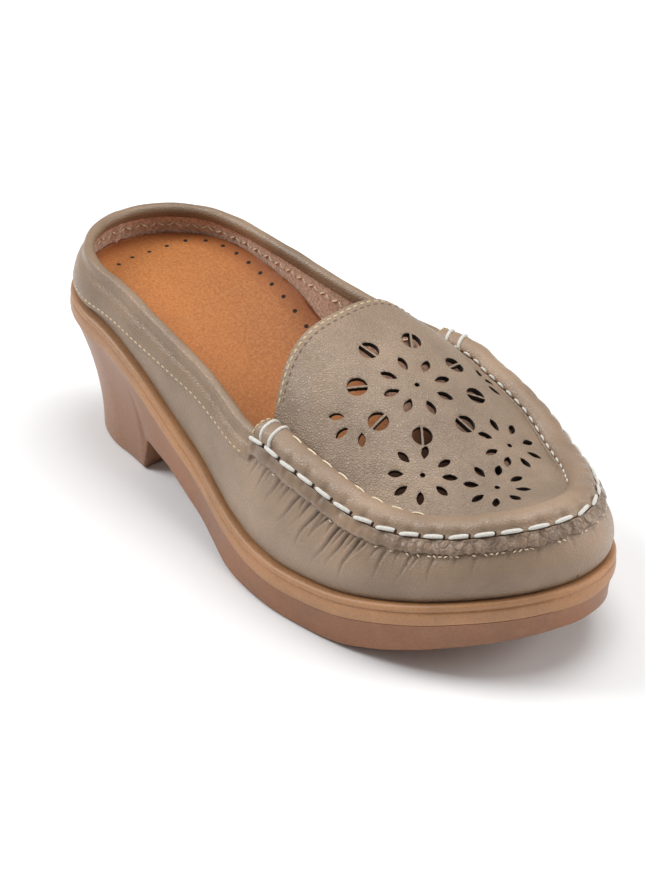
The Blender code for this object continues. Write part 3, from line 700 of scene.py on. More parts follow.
def vamp_shape():
    """Outer surface of the wall from the feather line to the top edge, and the painted shade on it: in
    the gathers and towards the welt.
    """
    ring = VAMP_RING
    shares = np.linspace(0, 1, WALL_ROWS)
    grid = np.array([wall_row(ring, share) for share in shares])
    normals = grid_normals(grid, closed=True)
    height = (1 - shares[:, None]) * wall_height(ring)[None]
    walked = front_walk(ring)
    near_end = np.minimum(walked, FRONT_LENGTH - walked)
    ends = np.clip(near_end / CREASE_END, 0, 1)
    drop = np.clip(height - STRIP_WIDTH * 0.8, 0, None)
    depth = crease_depth(walked[None], drop) * ends[None]
    depth = depth * np.clip((height - STRIP_WIDTH * 0.7) / (1 * MM), 0, 1)
    above_foot = shares[:, None] * wall_height(ring)[None]
    tuck = (1 - np.clip(above_foot / FOOT_HEIGHT, 0, 1)) ** 2
    grid[..., :2] -= normals[..., :2] * (tuck * FOOT_TUCK)[..., None]
    grid[..., 2] -= tuck * FOOT_SINK
    # Painted shade: the leather darkens in the gathers' hollows and over the lowest 10 mm above the
    # welt.
    foot_shade = np.clip(1 - above_foot / FOOT_SHADE_HEIGHT, 0, 1) ** 1.4
    painted_shade = np.clip(depth / CREASE_SHADE_DEPTH, 0, 1)
    return grid - normals * depth[..., None], np.maximum(painted_shade, 0.5 * foot_shade)


def vamp_and_quarters(leather):
    grid, painted_shade = vamp_shape()
    piece = grid_piece("vamp_and_quarters", grid, closed=True, painted_shade=painted_shade)
    paint(piece, leather)
    return place(piece, "upper_leather", "upper")


def quarter_lining(suede):
    """Lining inside the quarters, with the back seam pressed into it."""
    rows = []
    for share in np.linspace(0, 1, 12):
        row = wall_row(RING, share)
        row[:, :2] += RING.inward * WALL
        ridge = np.exp(-((row[:, 1] - row[0, 1]) / (1.3 * MM)) ** 2) * (RING.at < HEEL_ARC / 2)
        row[:, 0] += 0.9 * MM * ridge
        rows.append(row)
    piece = grid_piece("quarter_lining", np.array(rows)[:, ::-1], closed=True)
    paint(piece, suede)
    return place(piece, "upper_leather")


def petal_outline(length, width):
    """A petal with its point towards the flower's middle."""
    share = np.linspace(0, 1, 9)
    half = width / 2 * np.sin(math.pi * share**1.1) ** 0.68
    x = (share - 0.5) * length
    upper = list(zip(x, half))
    lower = [(a, -b) for a, b in reversed(upper[1:-1])]
    return upper + lower


def half_disc(side):
    start = math.asin(DISC_BAR / 2 / DISC_RADIUS)
    angles = np.linspace(start, math.pi - start, 14)
    return [(DISC_RADIUS * math.cos(a), side * DISC_RADIUS * math.sin(a)) for a in angles]


def eye_hole():
    angles = [math.tau * k / 12 for k in range(12)]
    return [(EYE_RADIUS * math.cos(a), EYE_RADIUS * math.sin(a)) for a in angles]


def punches():
    """Every hole as (outline, flower centre x and y, reach from it, turn)."""
    found = []
    for flower in FLOWERS:
        centre = (flower.at * LAST_LENGTH, flower.across * BALL_WIDTH)
        found.append((eye_hole(), *centre, 0.0, 0.0))
        petal = petal_outline(PETAL_LENGTH * flower.scale, PETAL_WIDTH * flower.scale)
        for k in range(PETALS):
            turn = math.tau * k / PETALS + math.radians(flower.turn)
            found.append((petal, *centre, flower.ring * BALL_WIDTH, turn))
    centre = (FLOWERS[0].at * LAST_LENGTH, FLOWERS[0].across * BALL_WIDTH)
    for k in range(DISCS):
        turn = math.tau * (k + 0.5) / DISCS + math.radians(FLOWERS[0].turn)
        for side in (-1, 1):
            found.append((half_disc(side), *centre, DISC_RING * BALL_WIDTH, turn))
    petal = petal_outline(PETAL_LENGTH * SMALL_PETAL, PETAL_WIDTH * SMALL_PETAL)
    for spray in SPRAYS:
        centre = (spray.at * LAST_LENGTH, spray.across * BALL_WIDTH)
        for angle in SPRAY_ANGLES:
            turn = math.radians(spray.facing + angle)
            found.append((petal, *centre, spray.ring * BALL_WIDTH, turn))
    return found


def surface_frame(tree, x, y, turn):
    """Point of the apron under x, y with its normal and two directions along it."""
    spot, normal, _, _ = tree.ray_cast(Vector((x, y, 1.0)), Vector((0, 0, -1)))
    along = Vector((math.cos(turn), math.sin(turn), 0.0))
    along = (along - normal * along.dot(normal)).normalized()
    return spot, normal, along, normal.cross(along)


def punch_frames(tree):
    """Outline of each hole with its place and directions on the apron."""
    frames = []
    shift = Vector(SHIFT)
    for outline, x, y, reach, turn in punches():
        spot, _, along, _ = surface_frame(tree, x + shift.x, y + shift.y, turn)
        middle = spot + along * reach
        frames.append((outline, *surface_frame(tree, middle.x, middle.y, turn)))
    return frames


def punch_cutters(frames):
    """Closed prisms that stand square on the apron and go through its leather."""
    bm = bmesh.new()
    for outline, spot, normal, along, across in frames:
        ends = []
        for depth in (0.8 * WALL, -1.8 * WALL):
            base = spot + normal * depth
            ends.append([bm.verts.new(base + along * a + across * b) for a, b in outline])
        bm.faces.new(ends[0])
        bm.faces.new(list(reversed(ends[1])))
        count = len(outline)
        for i in range(count):
            k = (i + 1) % count
            bm.faces.new((ends[0][i], ends[1][i], ends[1][k], ends[0][k]))
    bmesh.ops.recalc_face_normals(bm, faces=bm.faces)
    mesh = bpy.data.meshes.new("punch_cutters")
    bm.to_mesh(mesh)
    bm.free()
    cutter = bpy.data.objects.new("punch_cutters", mesh)
    bpy.context.scene.collection.objects.link(cutter)
    return cutter


def press_rims(piece, frames):
    """Lets the leather dip towards each punched edge, as the punch leaves it."""
    count = len(piece.data.vertices)
    co = np.empty(count * 3)
    piece.data.vertices.foreach_get("co", co)
    co = co.reshape(-1, 3)
    for outline, spot, normal, along, across in frames:
        centre, n = np.array(spot), np.array(normal)
        rel = co - centre
        near = np.flatnonzero(np.abs(rel).max(axis=1) < 6 * MM)
        if not len(near):
            continue
        flat = np.stack([rel[near] @ np.array(along), rel[near] @ np.array(across)], axis=1)
        ring = np.array(outline)
        nxt = np.roll(ring, -1, axis=0)
        seg = nxt - ring
        t = ((flat[:, None] - ring[None]) * seg[None]).sum(-1) / (seg**2).sum(-1)[None]
        foot = ring[None] + seg[None] * np.clip(t, 0, 1)[..., None]
        distance = np.linalg.norm(flat[:, None] - foot, axis=-1).min(axis=1)
        dip = RIM_DIP * np.exp(-((distance / RIM_REACH) ** 2))
        co[near] -= n[None] * dip[:, None]
    piece.data.vertices.foreach_set("co", co.reshape(-1))
    piece.data.update()


def apron(leather, suede, hole_wall_shade):
    """Crowned apron with its punched flowers and its free top edge."""
    grid = apron_grid(APRON_STATIONS, APRON_COLUMNS)
    piece = grid_piece("apron", grid)
    frames = punch_frames(surface_tree(piece))
    press_rims(piece, frames)
    thicken(piece, WALL * 0.9, lining=1)
    round_edge(piece, 0.5 * MM, 2)
    cutter = punch_cutters(frames)
    holes = piece.modifiers.new("flowers", "BOOLEAN")
    holes.operation = "DIFFERENCE"
    holes.solver = "EXACT"
    holes.object = cutter
    holes.material_mode = "TRANSFER"
    paint(piece, leather, suede)
    # The hole walls take a near-black colour: painted shade inside the punched holes.
    paint(cutter, hole_wall_shade)
    apply_modifiers(piece)
    bpy.data.objects.remove(cutter)
    return place(piece, "upper_leather", "upper")


def band(leather):
    """Flat band of the apron under the roll, from the seam to the crowned part."""
    front = front_range(RING)
    seam, edge = FRAME.seam[front], FRAME.edge[front]
    share = np.linspace(0, 1, 5)[:, None, None]
    grid = seam[None] + (edge - seam)[None] * share
    piece = grid_piece("apron_band", grid)
    thicken(piece, WALL * 0.8)
    apply_modifiers(piece)
    paint(piece, leather)
    return place(piece, "upper_leather")


def pinch(walked, pitch, sharpness):
    """1 at every stitch end along a line, 0 between."""
    phase = (walked / pitch) % 1.0
    return np.exp(-((np.minimum(phase, 1 - phase) * sharpness) ** 2))


def sweep(name, sections):
    """A closed strip through sections of equal length, rounded by subdivision."""
    ring = np.asarray(sections).transpose(1, 0, 2)
    piece = grid_piece(name, np.concatenate([ring, ring[:1]], axis=0))
    face_out(piece)
    soften(piece)
    return piece


def front_line():
    """Ring points of the front seam and the way along it."""
    front = front_range(RING)
    return front, WALKED[front]


def roll_profile(index, walked):
    """Padded roll over the seam; it is drawn in at each stitch on its outer side."""
    seam, over, down = FRAME.seam[index], FRAME.over[index], FRAME.down[index]
    above, outward = FRAME.above[index], FRAME.outward[index]
    cinch = pinch(walked + HAND_THREAD.pitch / 2, HAND_THREAD.pitch, 6.5)
    swell = 1 + 0.035 * math.sin(walked / (3.1 * MM)) + 0.02 * math.sin(walked / (1.7 * MM) + 1)
    width, height = ROLL_WIDTH, ROLL_HEIGHT * swell
    points = [
        seam + down * 1.2 * MM + outward * 0.7 * MM,
        seam + above * 0.5 * MM,
        seam + over * width * 0.5 + above * 0.4 * MM,
        seam + over * width + above * 0.2 * MM,
    ]
    for degrees in (8, 26, 48, 70, 92, 114, 136, 156, 172):
        angle = math.radians(degrees)
        outer = max(0.0, -math.cos(angle))
        squeeze = 1 - cinch * 0.17 * outer**1.5
        x = 0.5 + 0.54 * math.cos(angle) * squeeze
        y = math.sin(angle) ** 0.75 * squeeze
        points.append(seam + over * width * x + above * height * y + outward * 0.5 * MM * outer)
    points.append(seam + down * 0.9 * MM + outward * (2.0 - 0.5 * cinch) * MM)
    points = np.array(points)
    reach = np.clip(min(walked, FRONT_LENGTH - walked) / (3.0 * MM), 0, 1)
    rounding = 0.45 + 0.55 * math.sqrt(1 - (1 - reach) ** 2)
    middle = points[:4].mean(axis=0)
    return middle + (points - middle) * rounding


def apron_roll(leather):
    sections = [roll_profile(index, way) for index, way in zip(*front_line())]
    piece = sweep("moccasin_roll", sections)
    paint(piece, leather)
    return place(piece, "upper_leather", "apron_roll")


def strip_profile(index, walked):
    """Rim of the vamp below the roll, puckered by the gathers and cut to a ragged edge."""
    seam, down, outward = FRAME.seam[index], FRAME.down[index], FRAME.outward[index]
    share = walked / FRONT_LENGTH
    toe = math.exp(-(((share - 0.47) / 0.17) ** 2))
    fold = math.sin(walked / (0.62 * MM) + 2.2 * math.sin(walked / (2.9 * MM)))
    sharp = math.copysign(abs(fold) ** 0.6, fold)
    drape = math.sin(walked / (1.5 * MM) + 1.5 * math.sin(walked / (5.3 * MM)))
    cinch = pinch(walked + HAND_THREAD.pitch / 2, HAND_THREAD.pitch, 7.0)
    lift = ((0.05 + 0.30 * toe) * sharp + (0.10 + 0.20 * toe) * drape) * MM
    face = GAP + STRIP_THICKNESS
    ragged = math.sin(walked / (0.5 * MM) + 3 * math.sin(walked / (1.9 * MM)))
    low = STRIP_WIDTH - GAP + (0.18 + 0.22 * toe) * ragged * MM + 0.2 * drape * MM
    start = 1.1 * MM
    ends = np.clip(min(walked, FRONT_LENGTH - walked) / (2 * MM), 0.35, 1)
    return [
        seam + down * start + outward * 0.3 * MM,
        seam + down * low * 0.6 + outward * 0.3 * MM,
        seam + down * low + outward * 0.2 * MM,
        seam + down * (low + 0.15 * MM) + outward * (face * 0.6 + 0.5 * lift) * ends,
        seam + down * low * 0.93 + outward * (face + lift * 0.9) * ends,
        seam + down * low * 0.72 + outward * (face * 1.08 + lift) * ends,
        seam + down * low * 0.48 + outward * (face * 1.05 + lift * 0.9 - 0.3 * MM * cinch) * ends,
        seam + down * low * 0.3 + outward * (face * 1.0 + lift * 0.6 - 0.55 * MM * cinch) * ends,
        seam + down * start + outward * (face * 1.15 - 0.6 * MM * cinch) * ends,
    ]


def rim_strip(leather):
    front, walked = front_line()
    steps = np.arange(0, FRONT_LENGTH, 0.42 * MM)
    places = np.interp(steps, walked, np.arange(len(front)))
    sections = []
    for step, spot in zip(steps, places):
        k = min(int(spot), len(front) - 2)
        share = spot - k
        here = np.array(strip_profile(front[k], step))
        there = np.array(strip_profile(front[k + 1], step))
        sections.append(here * (1 - share) + there * share)
    piece = sweep("gathered_strip", sections)
    paint(piece, leather)
    return place(piece, "upper_leather", "rim_strip")


def cuff_width(ring):
    return CUFF_WIDTH * (1 - CUFF_TAPER * np.minimum(ring.at, THROAT) / THROAT)


def cuff_row(ring, drop):
    """Wall surface at a distance below its top edge."""
    return wall_row(ring, 1 - drop / wall_height(ring))


def cuff_sections():
    """Binding over the collar: flat outside, a groove, a round bead on top, a hem inside."""
    width = cuff_width(RING)
    drops = [width + 0.3 * MM, width, width * 0.86, (width + 4.6 * MM) / 2, 3.9 * MM, 2.9 * MM, 0.0]
    grid = np.array([cuff_row(RING, drop) for drop in drops])
    normals = grid_normals(grid, closed=True)
    up = unit(grid[6] - grid[5])
    sections = []
    for i in collar_range(RING):
        top, n, rise = grid[6, i], normals[6, i], up[i]
        end = np.clip((THROAT + CUFF_TUCK - RING.at[i]) / 0.03, 0, 1) ** 0.6
        face = (GAP + CUFF_THICKNESS) * (0.25 + 0.75 * end)
        soft = 0.07 * MM * math.sin(i / 5.0) + 0.05 * MM * math.sin(i / 2.3 + 1)
        bead = BEAD_RADIUS * (0.55 + 0.45 * end) + soft
        centre = top - n * 0.85 * MM + rise * 0.25 * MM
        section = [
            grid[1, i] + normals[1, i] * 0.1 * MM,
            grid[3, i] + normals[3, i] * 0.1 * MM,
            top + n * 0.1 * MM - rise * 0.6 * MM,
            top - n * WALL * 0.5 + rise * 0.3 * MM,
            top - n * (WALL + 0.1 * MM) - rise * 0.5 * MM,
            top - n * (WALL + 0.1 * MM) - rise * 2.4 * MM,
            top - n * (WALL + 0.7 * MM) - rise * 2.4 * MM,
        ]
        for degrees in (206, 180, 152, 124, 96, 68, 40, 12, -16, -40):
            angle = math.radians(degrees)
            section.append(centre + (n * math.cos(angle) + rise * math.sin(angle)) * bead)
        section += [
            grid[5, i] + normals[5, i] * face * 0.12,
            grid[4, i] + normals[4, i] * (face * 0.86),
            grid[3, i] + normals[3, i] * (face + soft),
            grid[2, i] + normals[2, i] * (face - 0.25 * MM),
            grid[1, i] + normals[1, i] * (face * 0.97),
            grid[0, i] + normals[0, i] * face * 0.5,
        ]
        sections.append(section)
    return sections


def collar_cuff(leather):
    piece = sweep("collar_binding", cuff_sections())
    paint(piece, leather)
    return place(piece, "upper_leather", "collar_cuff")


def footbed_grid(stations, columns):
    """Top of the footbed, rows from its outer to its inner edge, columns to the toe."""
    height = wall_height(RING)
    rise = RING.between(smooth(BEDS, "outer", RING.at), smooth(BEDS, "inner", RING.at)) * FOOTBED_RISE
    share = (INSOLE_THICKNESS + rise) / height
    line = wall_row(RING, share)
    line[:, :2] += RING.inward * (WALL + 2.2 * GAP)
    outer, inner = side_lines(line)
    at_outer, at_inner = side_lines(RING.at[:, None])
    at = (1 - np.cos(np.linspace(0, 1, stations) * math.pi)) / 2
    left = resample(outer, at_outer[:, 0], at)
    right = resample(inner, at_inner[:, 0], at)
    across = np.linspace(0, 1, columns)[:, None]
    low = smooth(BEDS, "outer", at)[None]
    high = smooth(BEDS, "inner", at)[None]
    dish = low * np.abs(1 - 2 * np.minimum(across, 0.5)) ** 2.4
    dish = dish + high * np.abs(1 - 2 * np.maximum(across, 0.5)) ** 2.4
    dish = dish - (low * (1 - across) + high * across)
    grid = left[None] + (right - left)[None] * across[..., None]
    grid[..., 2] += dish * FOOTBED_RISE
    return grid


def footbed(leather):
    grid = footbed_grid(*FOOTBED_GRID)
    half = np.linalg.norm(grid[-1] - grid[0], axis=1)[None] / 2
    across = np.abs(np.linspace(-1, 1, len(grid)))[:, None]
    margin = np.minimum(half * (1 - across), (grid[..., 0] - grid[..., 0].min()) * 0.9)
    # Painted shade round the footbed's edge by the walls and the heel, fading out over 9 mm.
    painted_shade = np.clip(1 - margin / (9 * MM), 0, 1)
    piece = grid_piece("footbed_sock", grid, painted_shade=painted_shade)
    weld(piece)
    thicken(piece, INSOLE_THICKNESS * 0.85)
    round_edge(piece, 0.7 * MM, 3)
    apply_modifiers(piece)
    paint(piece, leather)
    return place(piece, "footbed", "insole")


def side_tuck(ring):
    outer = smooth(UNDER, "outer_tuck", ring.at)
    inner = smooth(UNDER, "inner_tuck", ring.at)
    return ring.between(outer, inner) * HEEL_TUCK


def heel_rake(ring):
    lean = HEEL_RAKE - HEEL_TUCK * smooth(UNDER, "outer_tuck", 0.0)
    return np.where(ring.at < HEEL_ARC, lean * (1 - roundness(ring.at)), 0.0)


def shoulder(at):
    return welt_top(at) - WELT_HEIGHT - WELT_CREVICE


def side_share(drop):
    """Share of the side's flare at a drop; by the arch it goes on as on the heel beside it."""
    top, bottom = shoulder(RING.at), sole_bottom(RING.at)
    along = np.clip((RING.at - BREAST_TOP) / (ARCH_END - BREAST_TOP), 0, 1)
    level = bottom * along**2 * (3 - 2 * along)
    return 1 - (1 - drop * (top - bottom) / (top - level)) ** SIDE_CURVE


def sole_ring(drop, lift=0.0, extra=0.0):
    """A ring down the sole's side; drop 0 is the shoulder, 1 the floor edge."""
    curve = side_share(drop)
    inset = SOLE_SETBACK - WELT_LEDGE + side_tuck(RING) * curve + extra
    ring = RING.inset(inset, lambda at: shoulder(at) + drop * (sole_bottom(at) + lift - shoulder(at)))
    ring[:, 0] += heel_rake(RING) * curve
    return ring


def sole_unit(foam):
    """Wedge heel and platform in one moulding, with a rounded floor edge."""
    inside = WELT_DEPTH - WELT_LEDGE + GAP
    rows = [
        RING.inset(inside, lambda at: welt_top(at) - GAP),
        RING.inset(inside, shoulder),
        sole_ring(0.0, extra=0.5 * MM),
        sole_ring(0.0),
        sole_ring(0.03),
    ]
    rows += [sole_ring(drop) for drop in np.linspace(0.08, 0.92, 14)]
    for angle in np.linspace(0, 90, 6):
        turn = math.radians(angle)
        rows.append(sole_ring(1.0, SOLE_EDGE * (1 - math.sin(turn)), SOLE_EDGE * (1 - math.cos(turn))))
    grid = np.array(rows)[::-1]
    piece = grid_piece("sole_unit", grid, closed=True)
    cap_level(piece, grid[-1], grid[0])
    paint(piece, foam)
    return place(piece, "sole_unit", "outsole")


def cap_level(piece, top, bottom):
    """Closes the top and the tread with strips across the shoe."""
    bm = bmesh.new()
    bm.from_mesh(piece.data)
    columns = RING.count
    lookup = {tuple(np.round(v.co, 6)): v for v in bm.verts}
    for ring in (top, bottom):
        verts = [lookup[tuple(np.round(Vector(p), 6))] for p in moved(ring).astype(np.float32)]
        half = columns // 2
        for k in range(half):
            a, b = verts[k], verts[k + 1]
            c, d = verts[(columns - k - 1) % columns], verts[(columns - k) % columns]
            face = [v for i, v in enumerate((a, b, c, d)) if v not in (a, b, c, d)[:i]]
            if len(face) > 2:
                bm.faces.new(face)
    bmesh.ops.recalc_face_normals(bm, faces=bm.faces)
    bm.to_mesh(piece.data)
    bm.free()
    piece.data.shade_smooth()
    piece.data.set_sharp_from_angle(angle=math.radians(50))


# Section of the welt in millimetres: inset from the feather line and height over its top
WELT_SECTION = [
    (9.0, 0.0),
    (9.0, -8.0),
    (2.0, -8.0),
    (-1.5, -8.0),
    (-2.35, -7.75),
    (-2.7, -7.1),
    (-2.8, -5.6),
    (-2.78, -4.2),
    (-2.55, -3.2),
    (-2.05, -2.85),
    (-2.1, -2.6),
    (-2.6, -2.25),
    (-2.75, -1.6),
    (-2.55, -0.75),
    (-1.9, -0.15),
    (-0.9, 0.0),
    (2.0, 0.0),
]


def welt(rubber):
    rows = []
    for inset, lift in WELT_SECTION:
        rows.append(RING.inset(inset * MM, lambda at: welt_top(at) + lift * MM))
    rows.append(rows[0])
    piece = grid_piece("welt_rand", np.array(rows), closed=True)
    face_out(piece)
    soften(piece)
    paint(piece, rubber)
    return place(piece, "welt", "welt")


def stitch_template(thread):
    """One thread: a long bead whose ends dip into the leather."""
    deselect()
    bpy.ops.mesh.primitive_uv_sphere_add(segments=10, ring_count=10, radius=0.5)
    bead = bpy.context.object
    bead.name = "thread"
    bpy.ops.object.shade_smooth()
    for vertex in bead.data.vertices:
        z = vertex.co.z * 2
        barrel = (1 - abs(z) ** 5) ** 0.5 if abs(z) < 1 else 0.0
        flat = math.hypot(vertex.co.x, vertex.co.y)
        spread = barrel / (2 * flat) if flat > 1e-6 else 0.0
        x, y = vertex.co.x * spread, vertex.co.y * spread
        sag = 0.45 * thread.height * z**2
        vertex.co = (z * thread.length / 2, x * thread.width, y * thread.height - sag)
    return bead


def copies_at(name, template, places, material):
    """Copies of a template, joined; places holds (centre, direction, normal)."""
    copies = []
    for centre, direction, normal in places:
        copy = template.copy()
        copy.data = template.data.copy()
        bpy.context.scene.collection.objects.link(copy)
        x = Vector(direction).normalized()
        z = Vector(normal)
        z = (z - x * z.dot(x)).normalized()
        turn = Matrix((x, z.cross(x), z)).transposed().to_4x4()
        copy.data.transform(Matrix.Translation(Vector(moved(centre))) @ turn)
        copies.append(copy)
    bpy.data.objects.remove(template)
    piece = join(name, copies)
    paint(piece, material)
    return place(piece, "upper_leather")


def sew(name, thread, places, material):
    return copies_at(name, stitch_template(thread), places, material)


def walk_line(line):
    steps = np.linalg.norm(np.diff(line, axis=0), axis=1)
    return np.concatenate([[0], np.cumsum(steps)])


def along_line(line, walked, way):
    """Point of a line at a way along it."""
    return np.array([np.interp(way, walked, line[:, k]) for k in range(3)])


def swung(direction, normal, angle):
    return direction * math.cos(angle) + np.cross(normal, direction) * math.sin(angle)


def stitch_places(line, normals, pitch, start=0.0, turn=0.0):
    """Stitch centres, directions and normals at an even pitch along a line."""
    walked = walk_line(line)
    found = []
    for number, way in enumerate(np.arange(start + pitch / 2, walked[-1] - pitch / 3, pitch)):
        ahead = along_line(line, walked, way + pitch * 0.3)
        behind = along_line(line, walked, way - pitch * 0.3)
        normal = unit(along_line(normals, walked, way))
        direction = unit(ahead - behind)
        if turn:
            direction = swung(direction, normal, turn if number % 2 else -turn)
        found.append((along_line(line, walked, way), direction, normal))
    return found


def hand_stitches(white):
    """Long white stitches round the roll's outer side, in the hollows it is drawn in to."""
    front, walked = front_line()
    seam, outward, above = FRAME.seam[front], FRAME.outward[front], FRAME.above[front]
    line = seam + outward * 2.05 * MM + FRAME.down[front] * 0.15 * MM
    normals = unit(outward + above * 0.45)
    rng = random.Random(4)
    pitch = HAND_THREAD.pitch
    places = []
    for way in np.arange(pitch / 2, FRONT_LENGTH - pitch / 2, pitch):
        behind, centre, ahead = (along_line(line, walked, way + d) for d in (-2 * MM, 0, 2 * MM))
        normal = unit(along_line(normals, walked, way))
        tilt = math.radians(rng.uniform(-5, 5) + 4)
        places.append((centre, swung(unit(ahead - behind), normal, tilt), normal))
    return sew("hand_stitches", HAND_THREAD, places, white)


def needle_holes(dark):
    """Dark beads between the hand stitches, painted shade of the needle holes where the thread goes
    in.
    """
    front = front_range(RING)
    outward = FRAME.outward[front]
    line = FRAME.seam[front] + outward * 1.75 * MM + FRAME.down[front] * 0.25 * MM
    pitch = NEEDLE_HOLE.pitch
    places = stitch_places(line, outward, pitch, start=pitch / 2)
    return sew("needle_holes", NEEDLE_HOLE, places, dark)


def inner_stitches(white, cream):
    """Stitches on the roll's inner side: long cream ones outside, close white ones inside."""
    front, walked = front_line()
    over, above = FRAME.over[front], FRAME.above[front]
    foot = FRAME.seam[front] + over * ROLL_WIDTH + above * 0.9 * MM
    crest = FRAME.seam[front] + over * (ROLL_WIDTH * 0.86) + above * 3.45 * MM
    outer = (walked > 12 * MM) & (walked < 0.30 * FRONT_LENGTH)
    inner = (walked > 0.60 * FRONT_LENGTH) & (walked < FRONT_LENGTH - 4 * MM)
    crest_normals, foot_normals = unit(over * 0.7 + above), unit(over * 0.8 + above)
    for name, thread, line, normals, part, colour in (
        ("roll_stitches_outer", OUTER_ROLL_THREAD, crest, crest_normals, outer, cream),
        ("roll_stitches_inner", INNER_ROLL_THREAD, foot, foot_normals, inner, white),
    ):
        places = stitch_places(line[part], normals[part], thread.pitch)
        sew(name, thread, places, colour)


def cuff_stitches(gold):
    """Gold machine stitches along the lower edge of the cuff."""
    width = cuff_width(RING)
    grid = np.array([cuff_row(RING, width * share) for share in (0.95, 0.86, 0.77)])
    normals = grid_normals(grid, closed=True)[1]
    indices = collar_range(RING)
    indices = indices[RING.at[indices] < THROAT + 0.004]
    line = (grid[1] + normals * (GAP + CUFF_THICKNESS - 0.22 * MM))[indices]
    places = stitch_places(line, normals[indices], FINE_THREAD.pitch)
    return sew("cuff_stitches", FINE_THREAD, places, gold)


def tongue_line(inset):
    """A line across the tongue at a distance from its free edge, with its normals."""
    grid = apron_grid(APRON_STATIONS, APRON_COLUMNS)
    line = np.array([along_line(row, walk_line(row), inset) for row in grid])
    normals = unit(np.cross(grid[:, 3] - grid[:, 0], np.gradient(grid[:, 1], axis=0)))
    return line, normals


def tongue_stitches(gold, brown):
    """Double row along the tongue's free edge."""
    for name, inset, material, shift in (
        ("tongue_stitches", 1.3 * MM, gold, 0.0),
        ("tongue_stitches_inner", 3.1 * MM, brown, 1.2 * MM),
    ):
        line, normals = tongue_line(inset)
        places = stitch_places(line[4:-4], normals[4:-4], TONGUE_THREAD.pitch, start=shift)
        sew(name, TONGUE_THREAD, places, material)


def lining_stitches(cream):
    """Zigzag stitches that hold the cuff's hem to the lining inside the collar."""
    line = wall_row(RING, 1.0)
    below = wall_row(RING, 1 - 7 * MM / wall_height(RING))
    normals = grid_normals(np.array([below, line]), closed=True)[0]
    indices = collar_range(RING)
    inner = (below * 0.86 + line * 0.14 - normals * (WALL + 0.25 * MM))[indices]
    swing = math.radians(32)
    places = stitch_places(inner, -normals[indices], LINING_THREAD.pitch, turn=swing)
    return sew("lining_stitches", LINING_THREAD, places, cream)


def strip_stitches(cream):
    """Broken threads where the rim strip is gathered to the vamp, most of them at the toe."""
    front = front_range(RING)
    seam, down, outward = FRAME.seam[front], FRAME.down[front], FRAME.outward[front]
    line = seam + down * (STRIP_WIDTH + 0.25 * MM) + outward * 0.75 * MM
    rng = random.Random(7)
    places = []
    for centre, direction, normal in stitch_places(line, outward, STRIP_THREAD.pitch):
        swing = math.radians(rng.uniform(-40, 40))
        bare = 0.35 if centre[0] > TOE_GATHER * LAST_LENGTH else 0.85
        if rng.random() < bare:
            continue
        places.append((centre, swung(direction, normal, swing), normal))
    return sew("strip_stitches", STRIP_THREAD, places, cream)


def seam_stitches(gold):
    """Double row on the lapped seam of the vamp's inner side."""
    inner = np.arange(RING.count // 2, RING.count)
    covered = STRIP_WIDTH / wall_height(RING)
    shares = np.linspace(0.05, 0.95, 40)
    rows = np.array([wall_row(RING, 1 - (1 - s) * (1 - covered) - covered) for s in shares])
    normals = grid_normals(rows, closed=True)
    for name, behind in (("seam_stitches_front", 0.009), ("seam_stitches_back", 0.019)):
        column = inner[np.argmin(np.abs(RING.at[inner] - (INNER_SEAM - behind)))]
        line = rows[:, column] + normals[:, column] * 0.05 * MM
        places = stitch_places(line, normals[:, column], FINE_THREAD.pitch)
        sew(name, FINE_THREAD, places, gold)


def roll_arc(walked_to):
    """The roll's section at a way along the front: ring point, arc over its top, middle."""
    front, walked = front_line()
    k = int(np.argmin(np.abs(walked - walked_to)))
    section = np.array(roll_profile(front[k], walked[k]))
    return front[k], section[4:13], (section[2] + section[7]) / 2


def roll_wraps(white):
    """Two white threads wrapped over the roll near each of its ends."""
    pieces = []
    for way in (4.6 * MM, 9.6 * MM, FRONT_LENGTH - 4.6 * MM, FRONT_LENGTH - 9.6 * MM):
        index, arc, middle = roll_arc(way)
        arc = middle + (arc - middle) * 1.03
        lean = FRAME.along[index] * 1.2 * MM
        arc = arc + lean[None] * np.linspace(-1, 1, len(arc))[:, None]
        pieces.append(thread_tube(arc, WRAP_RADIUS))
    piece = join("roll_wraps", pieces)
    paint(piece, white)
    piece.data.shade_smooth()
    return place(piece, "upper_leather")


def roll_end_stitches(gold):
    """Gold stitches across the roll just behind each of its ends."""
    places = []
    for way in (1.7 * MM, FRONT_LENGTH - 1.7 * MM):
        _, arc, middle = roll_arc(way)
        normals = unit(arc - middle)
        places += stitch_places(arc + normals * 0.05 * MM, normals, ROLL_END_THREAD.pitch)
    return sew("roll_end_stitches", ROLL_END_THREAD, places, gold)


def thread_tube(points, radius):
    """A round thread through a few points, as a mesh."""
    curve = bpy.data.curves.new("thread_path", "CURVE")
    curve.dimensions = "3D"
    curve.bevel_depth = radius
    curve.bevel_resolution = 2
    curve.use_fill_caps = True
    spline = curve.splines.new("NURBS")
    spline.points.add(len(points) - 1)
    for slot, point in zip(spline.points, moved(points)):
        slot.co = (*point, 1.0)
    spline.use_endpoint_u = True
    spline.order_u = 3
    obj = bpy.data.objects.new("thread_path", curve)
    bpy.context.scene.collection.objects.link(obj)
    select([obj])
    bpy.ops.object.convert(target="MESH")
    return bpy.context.object


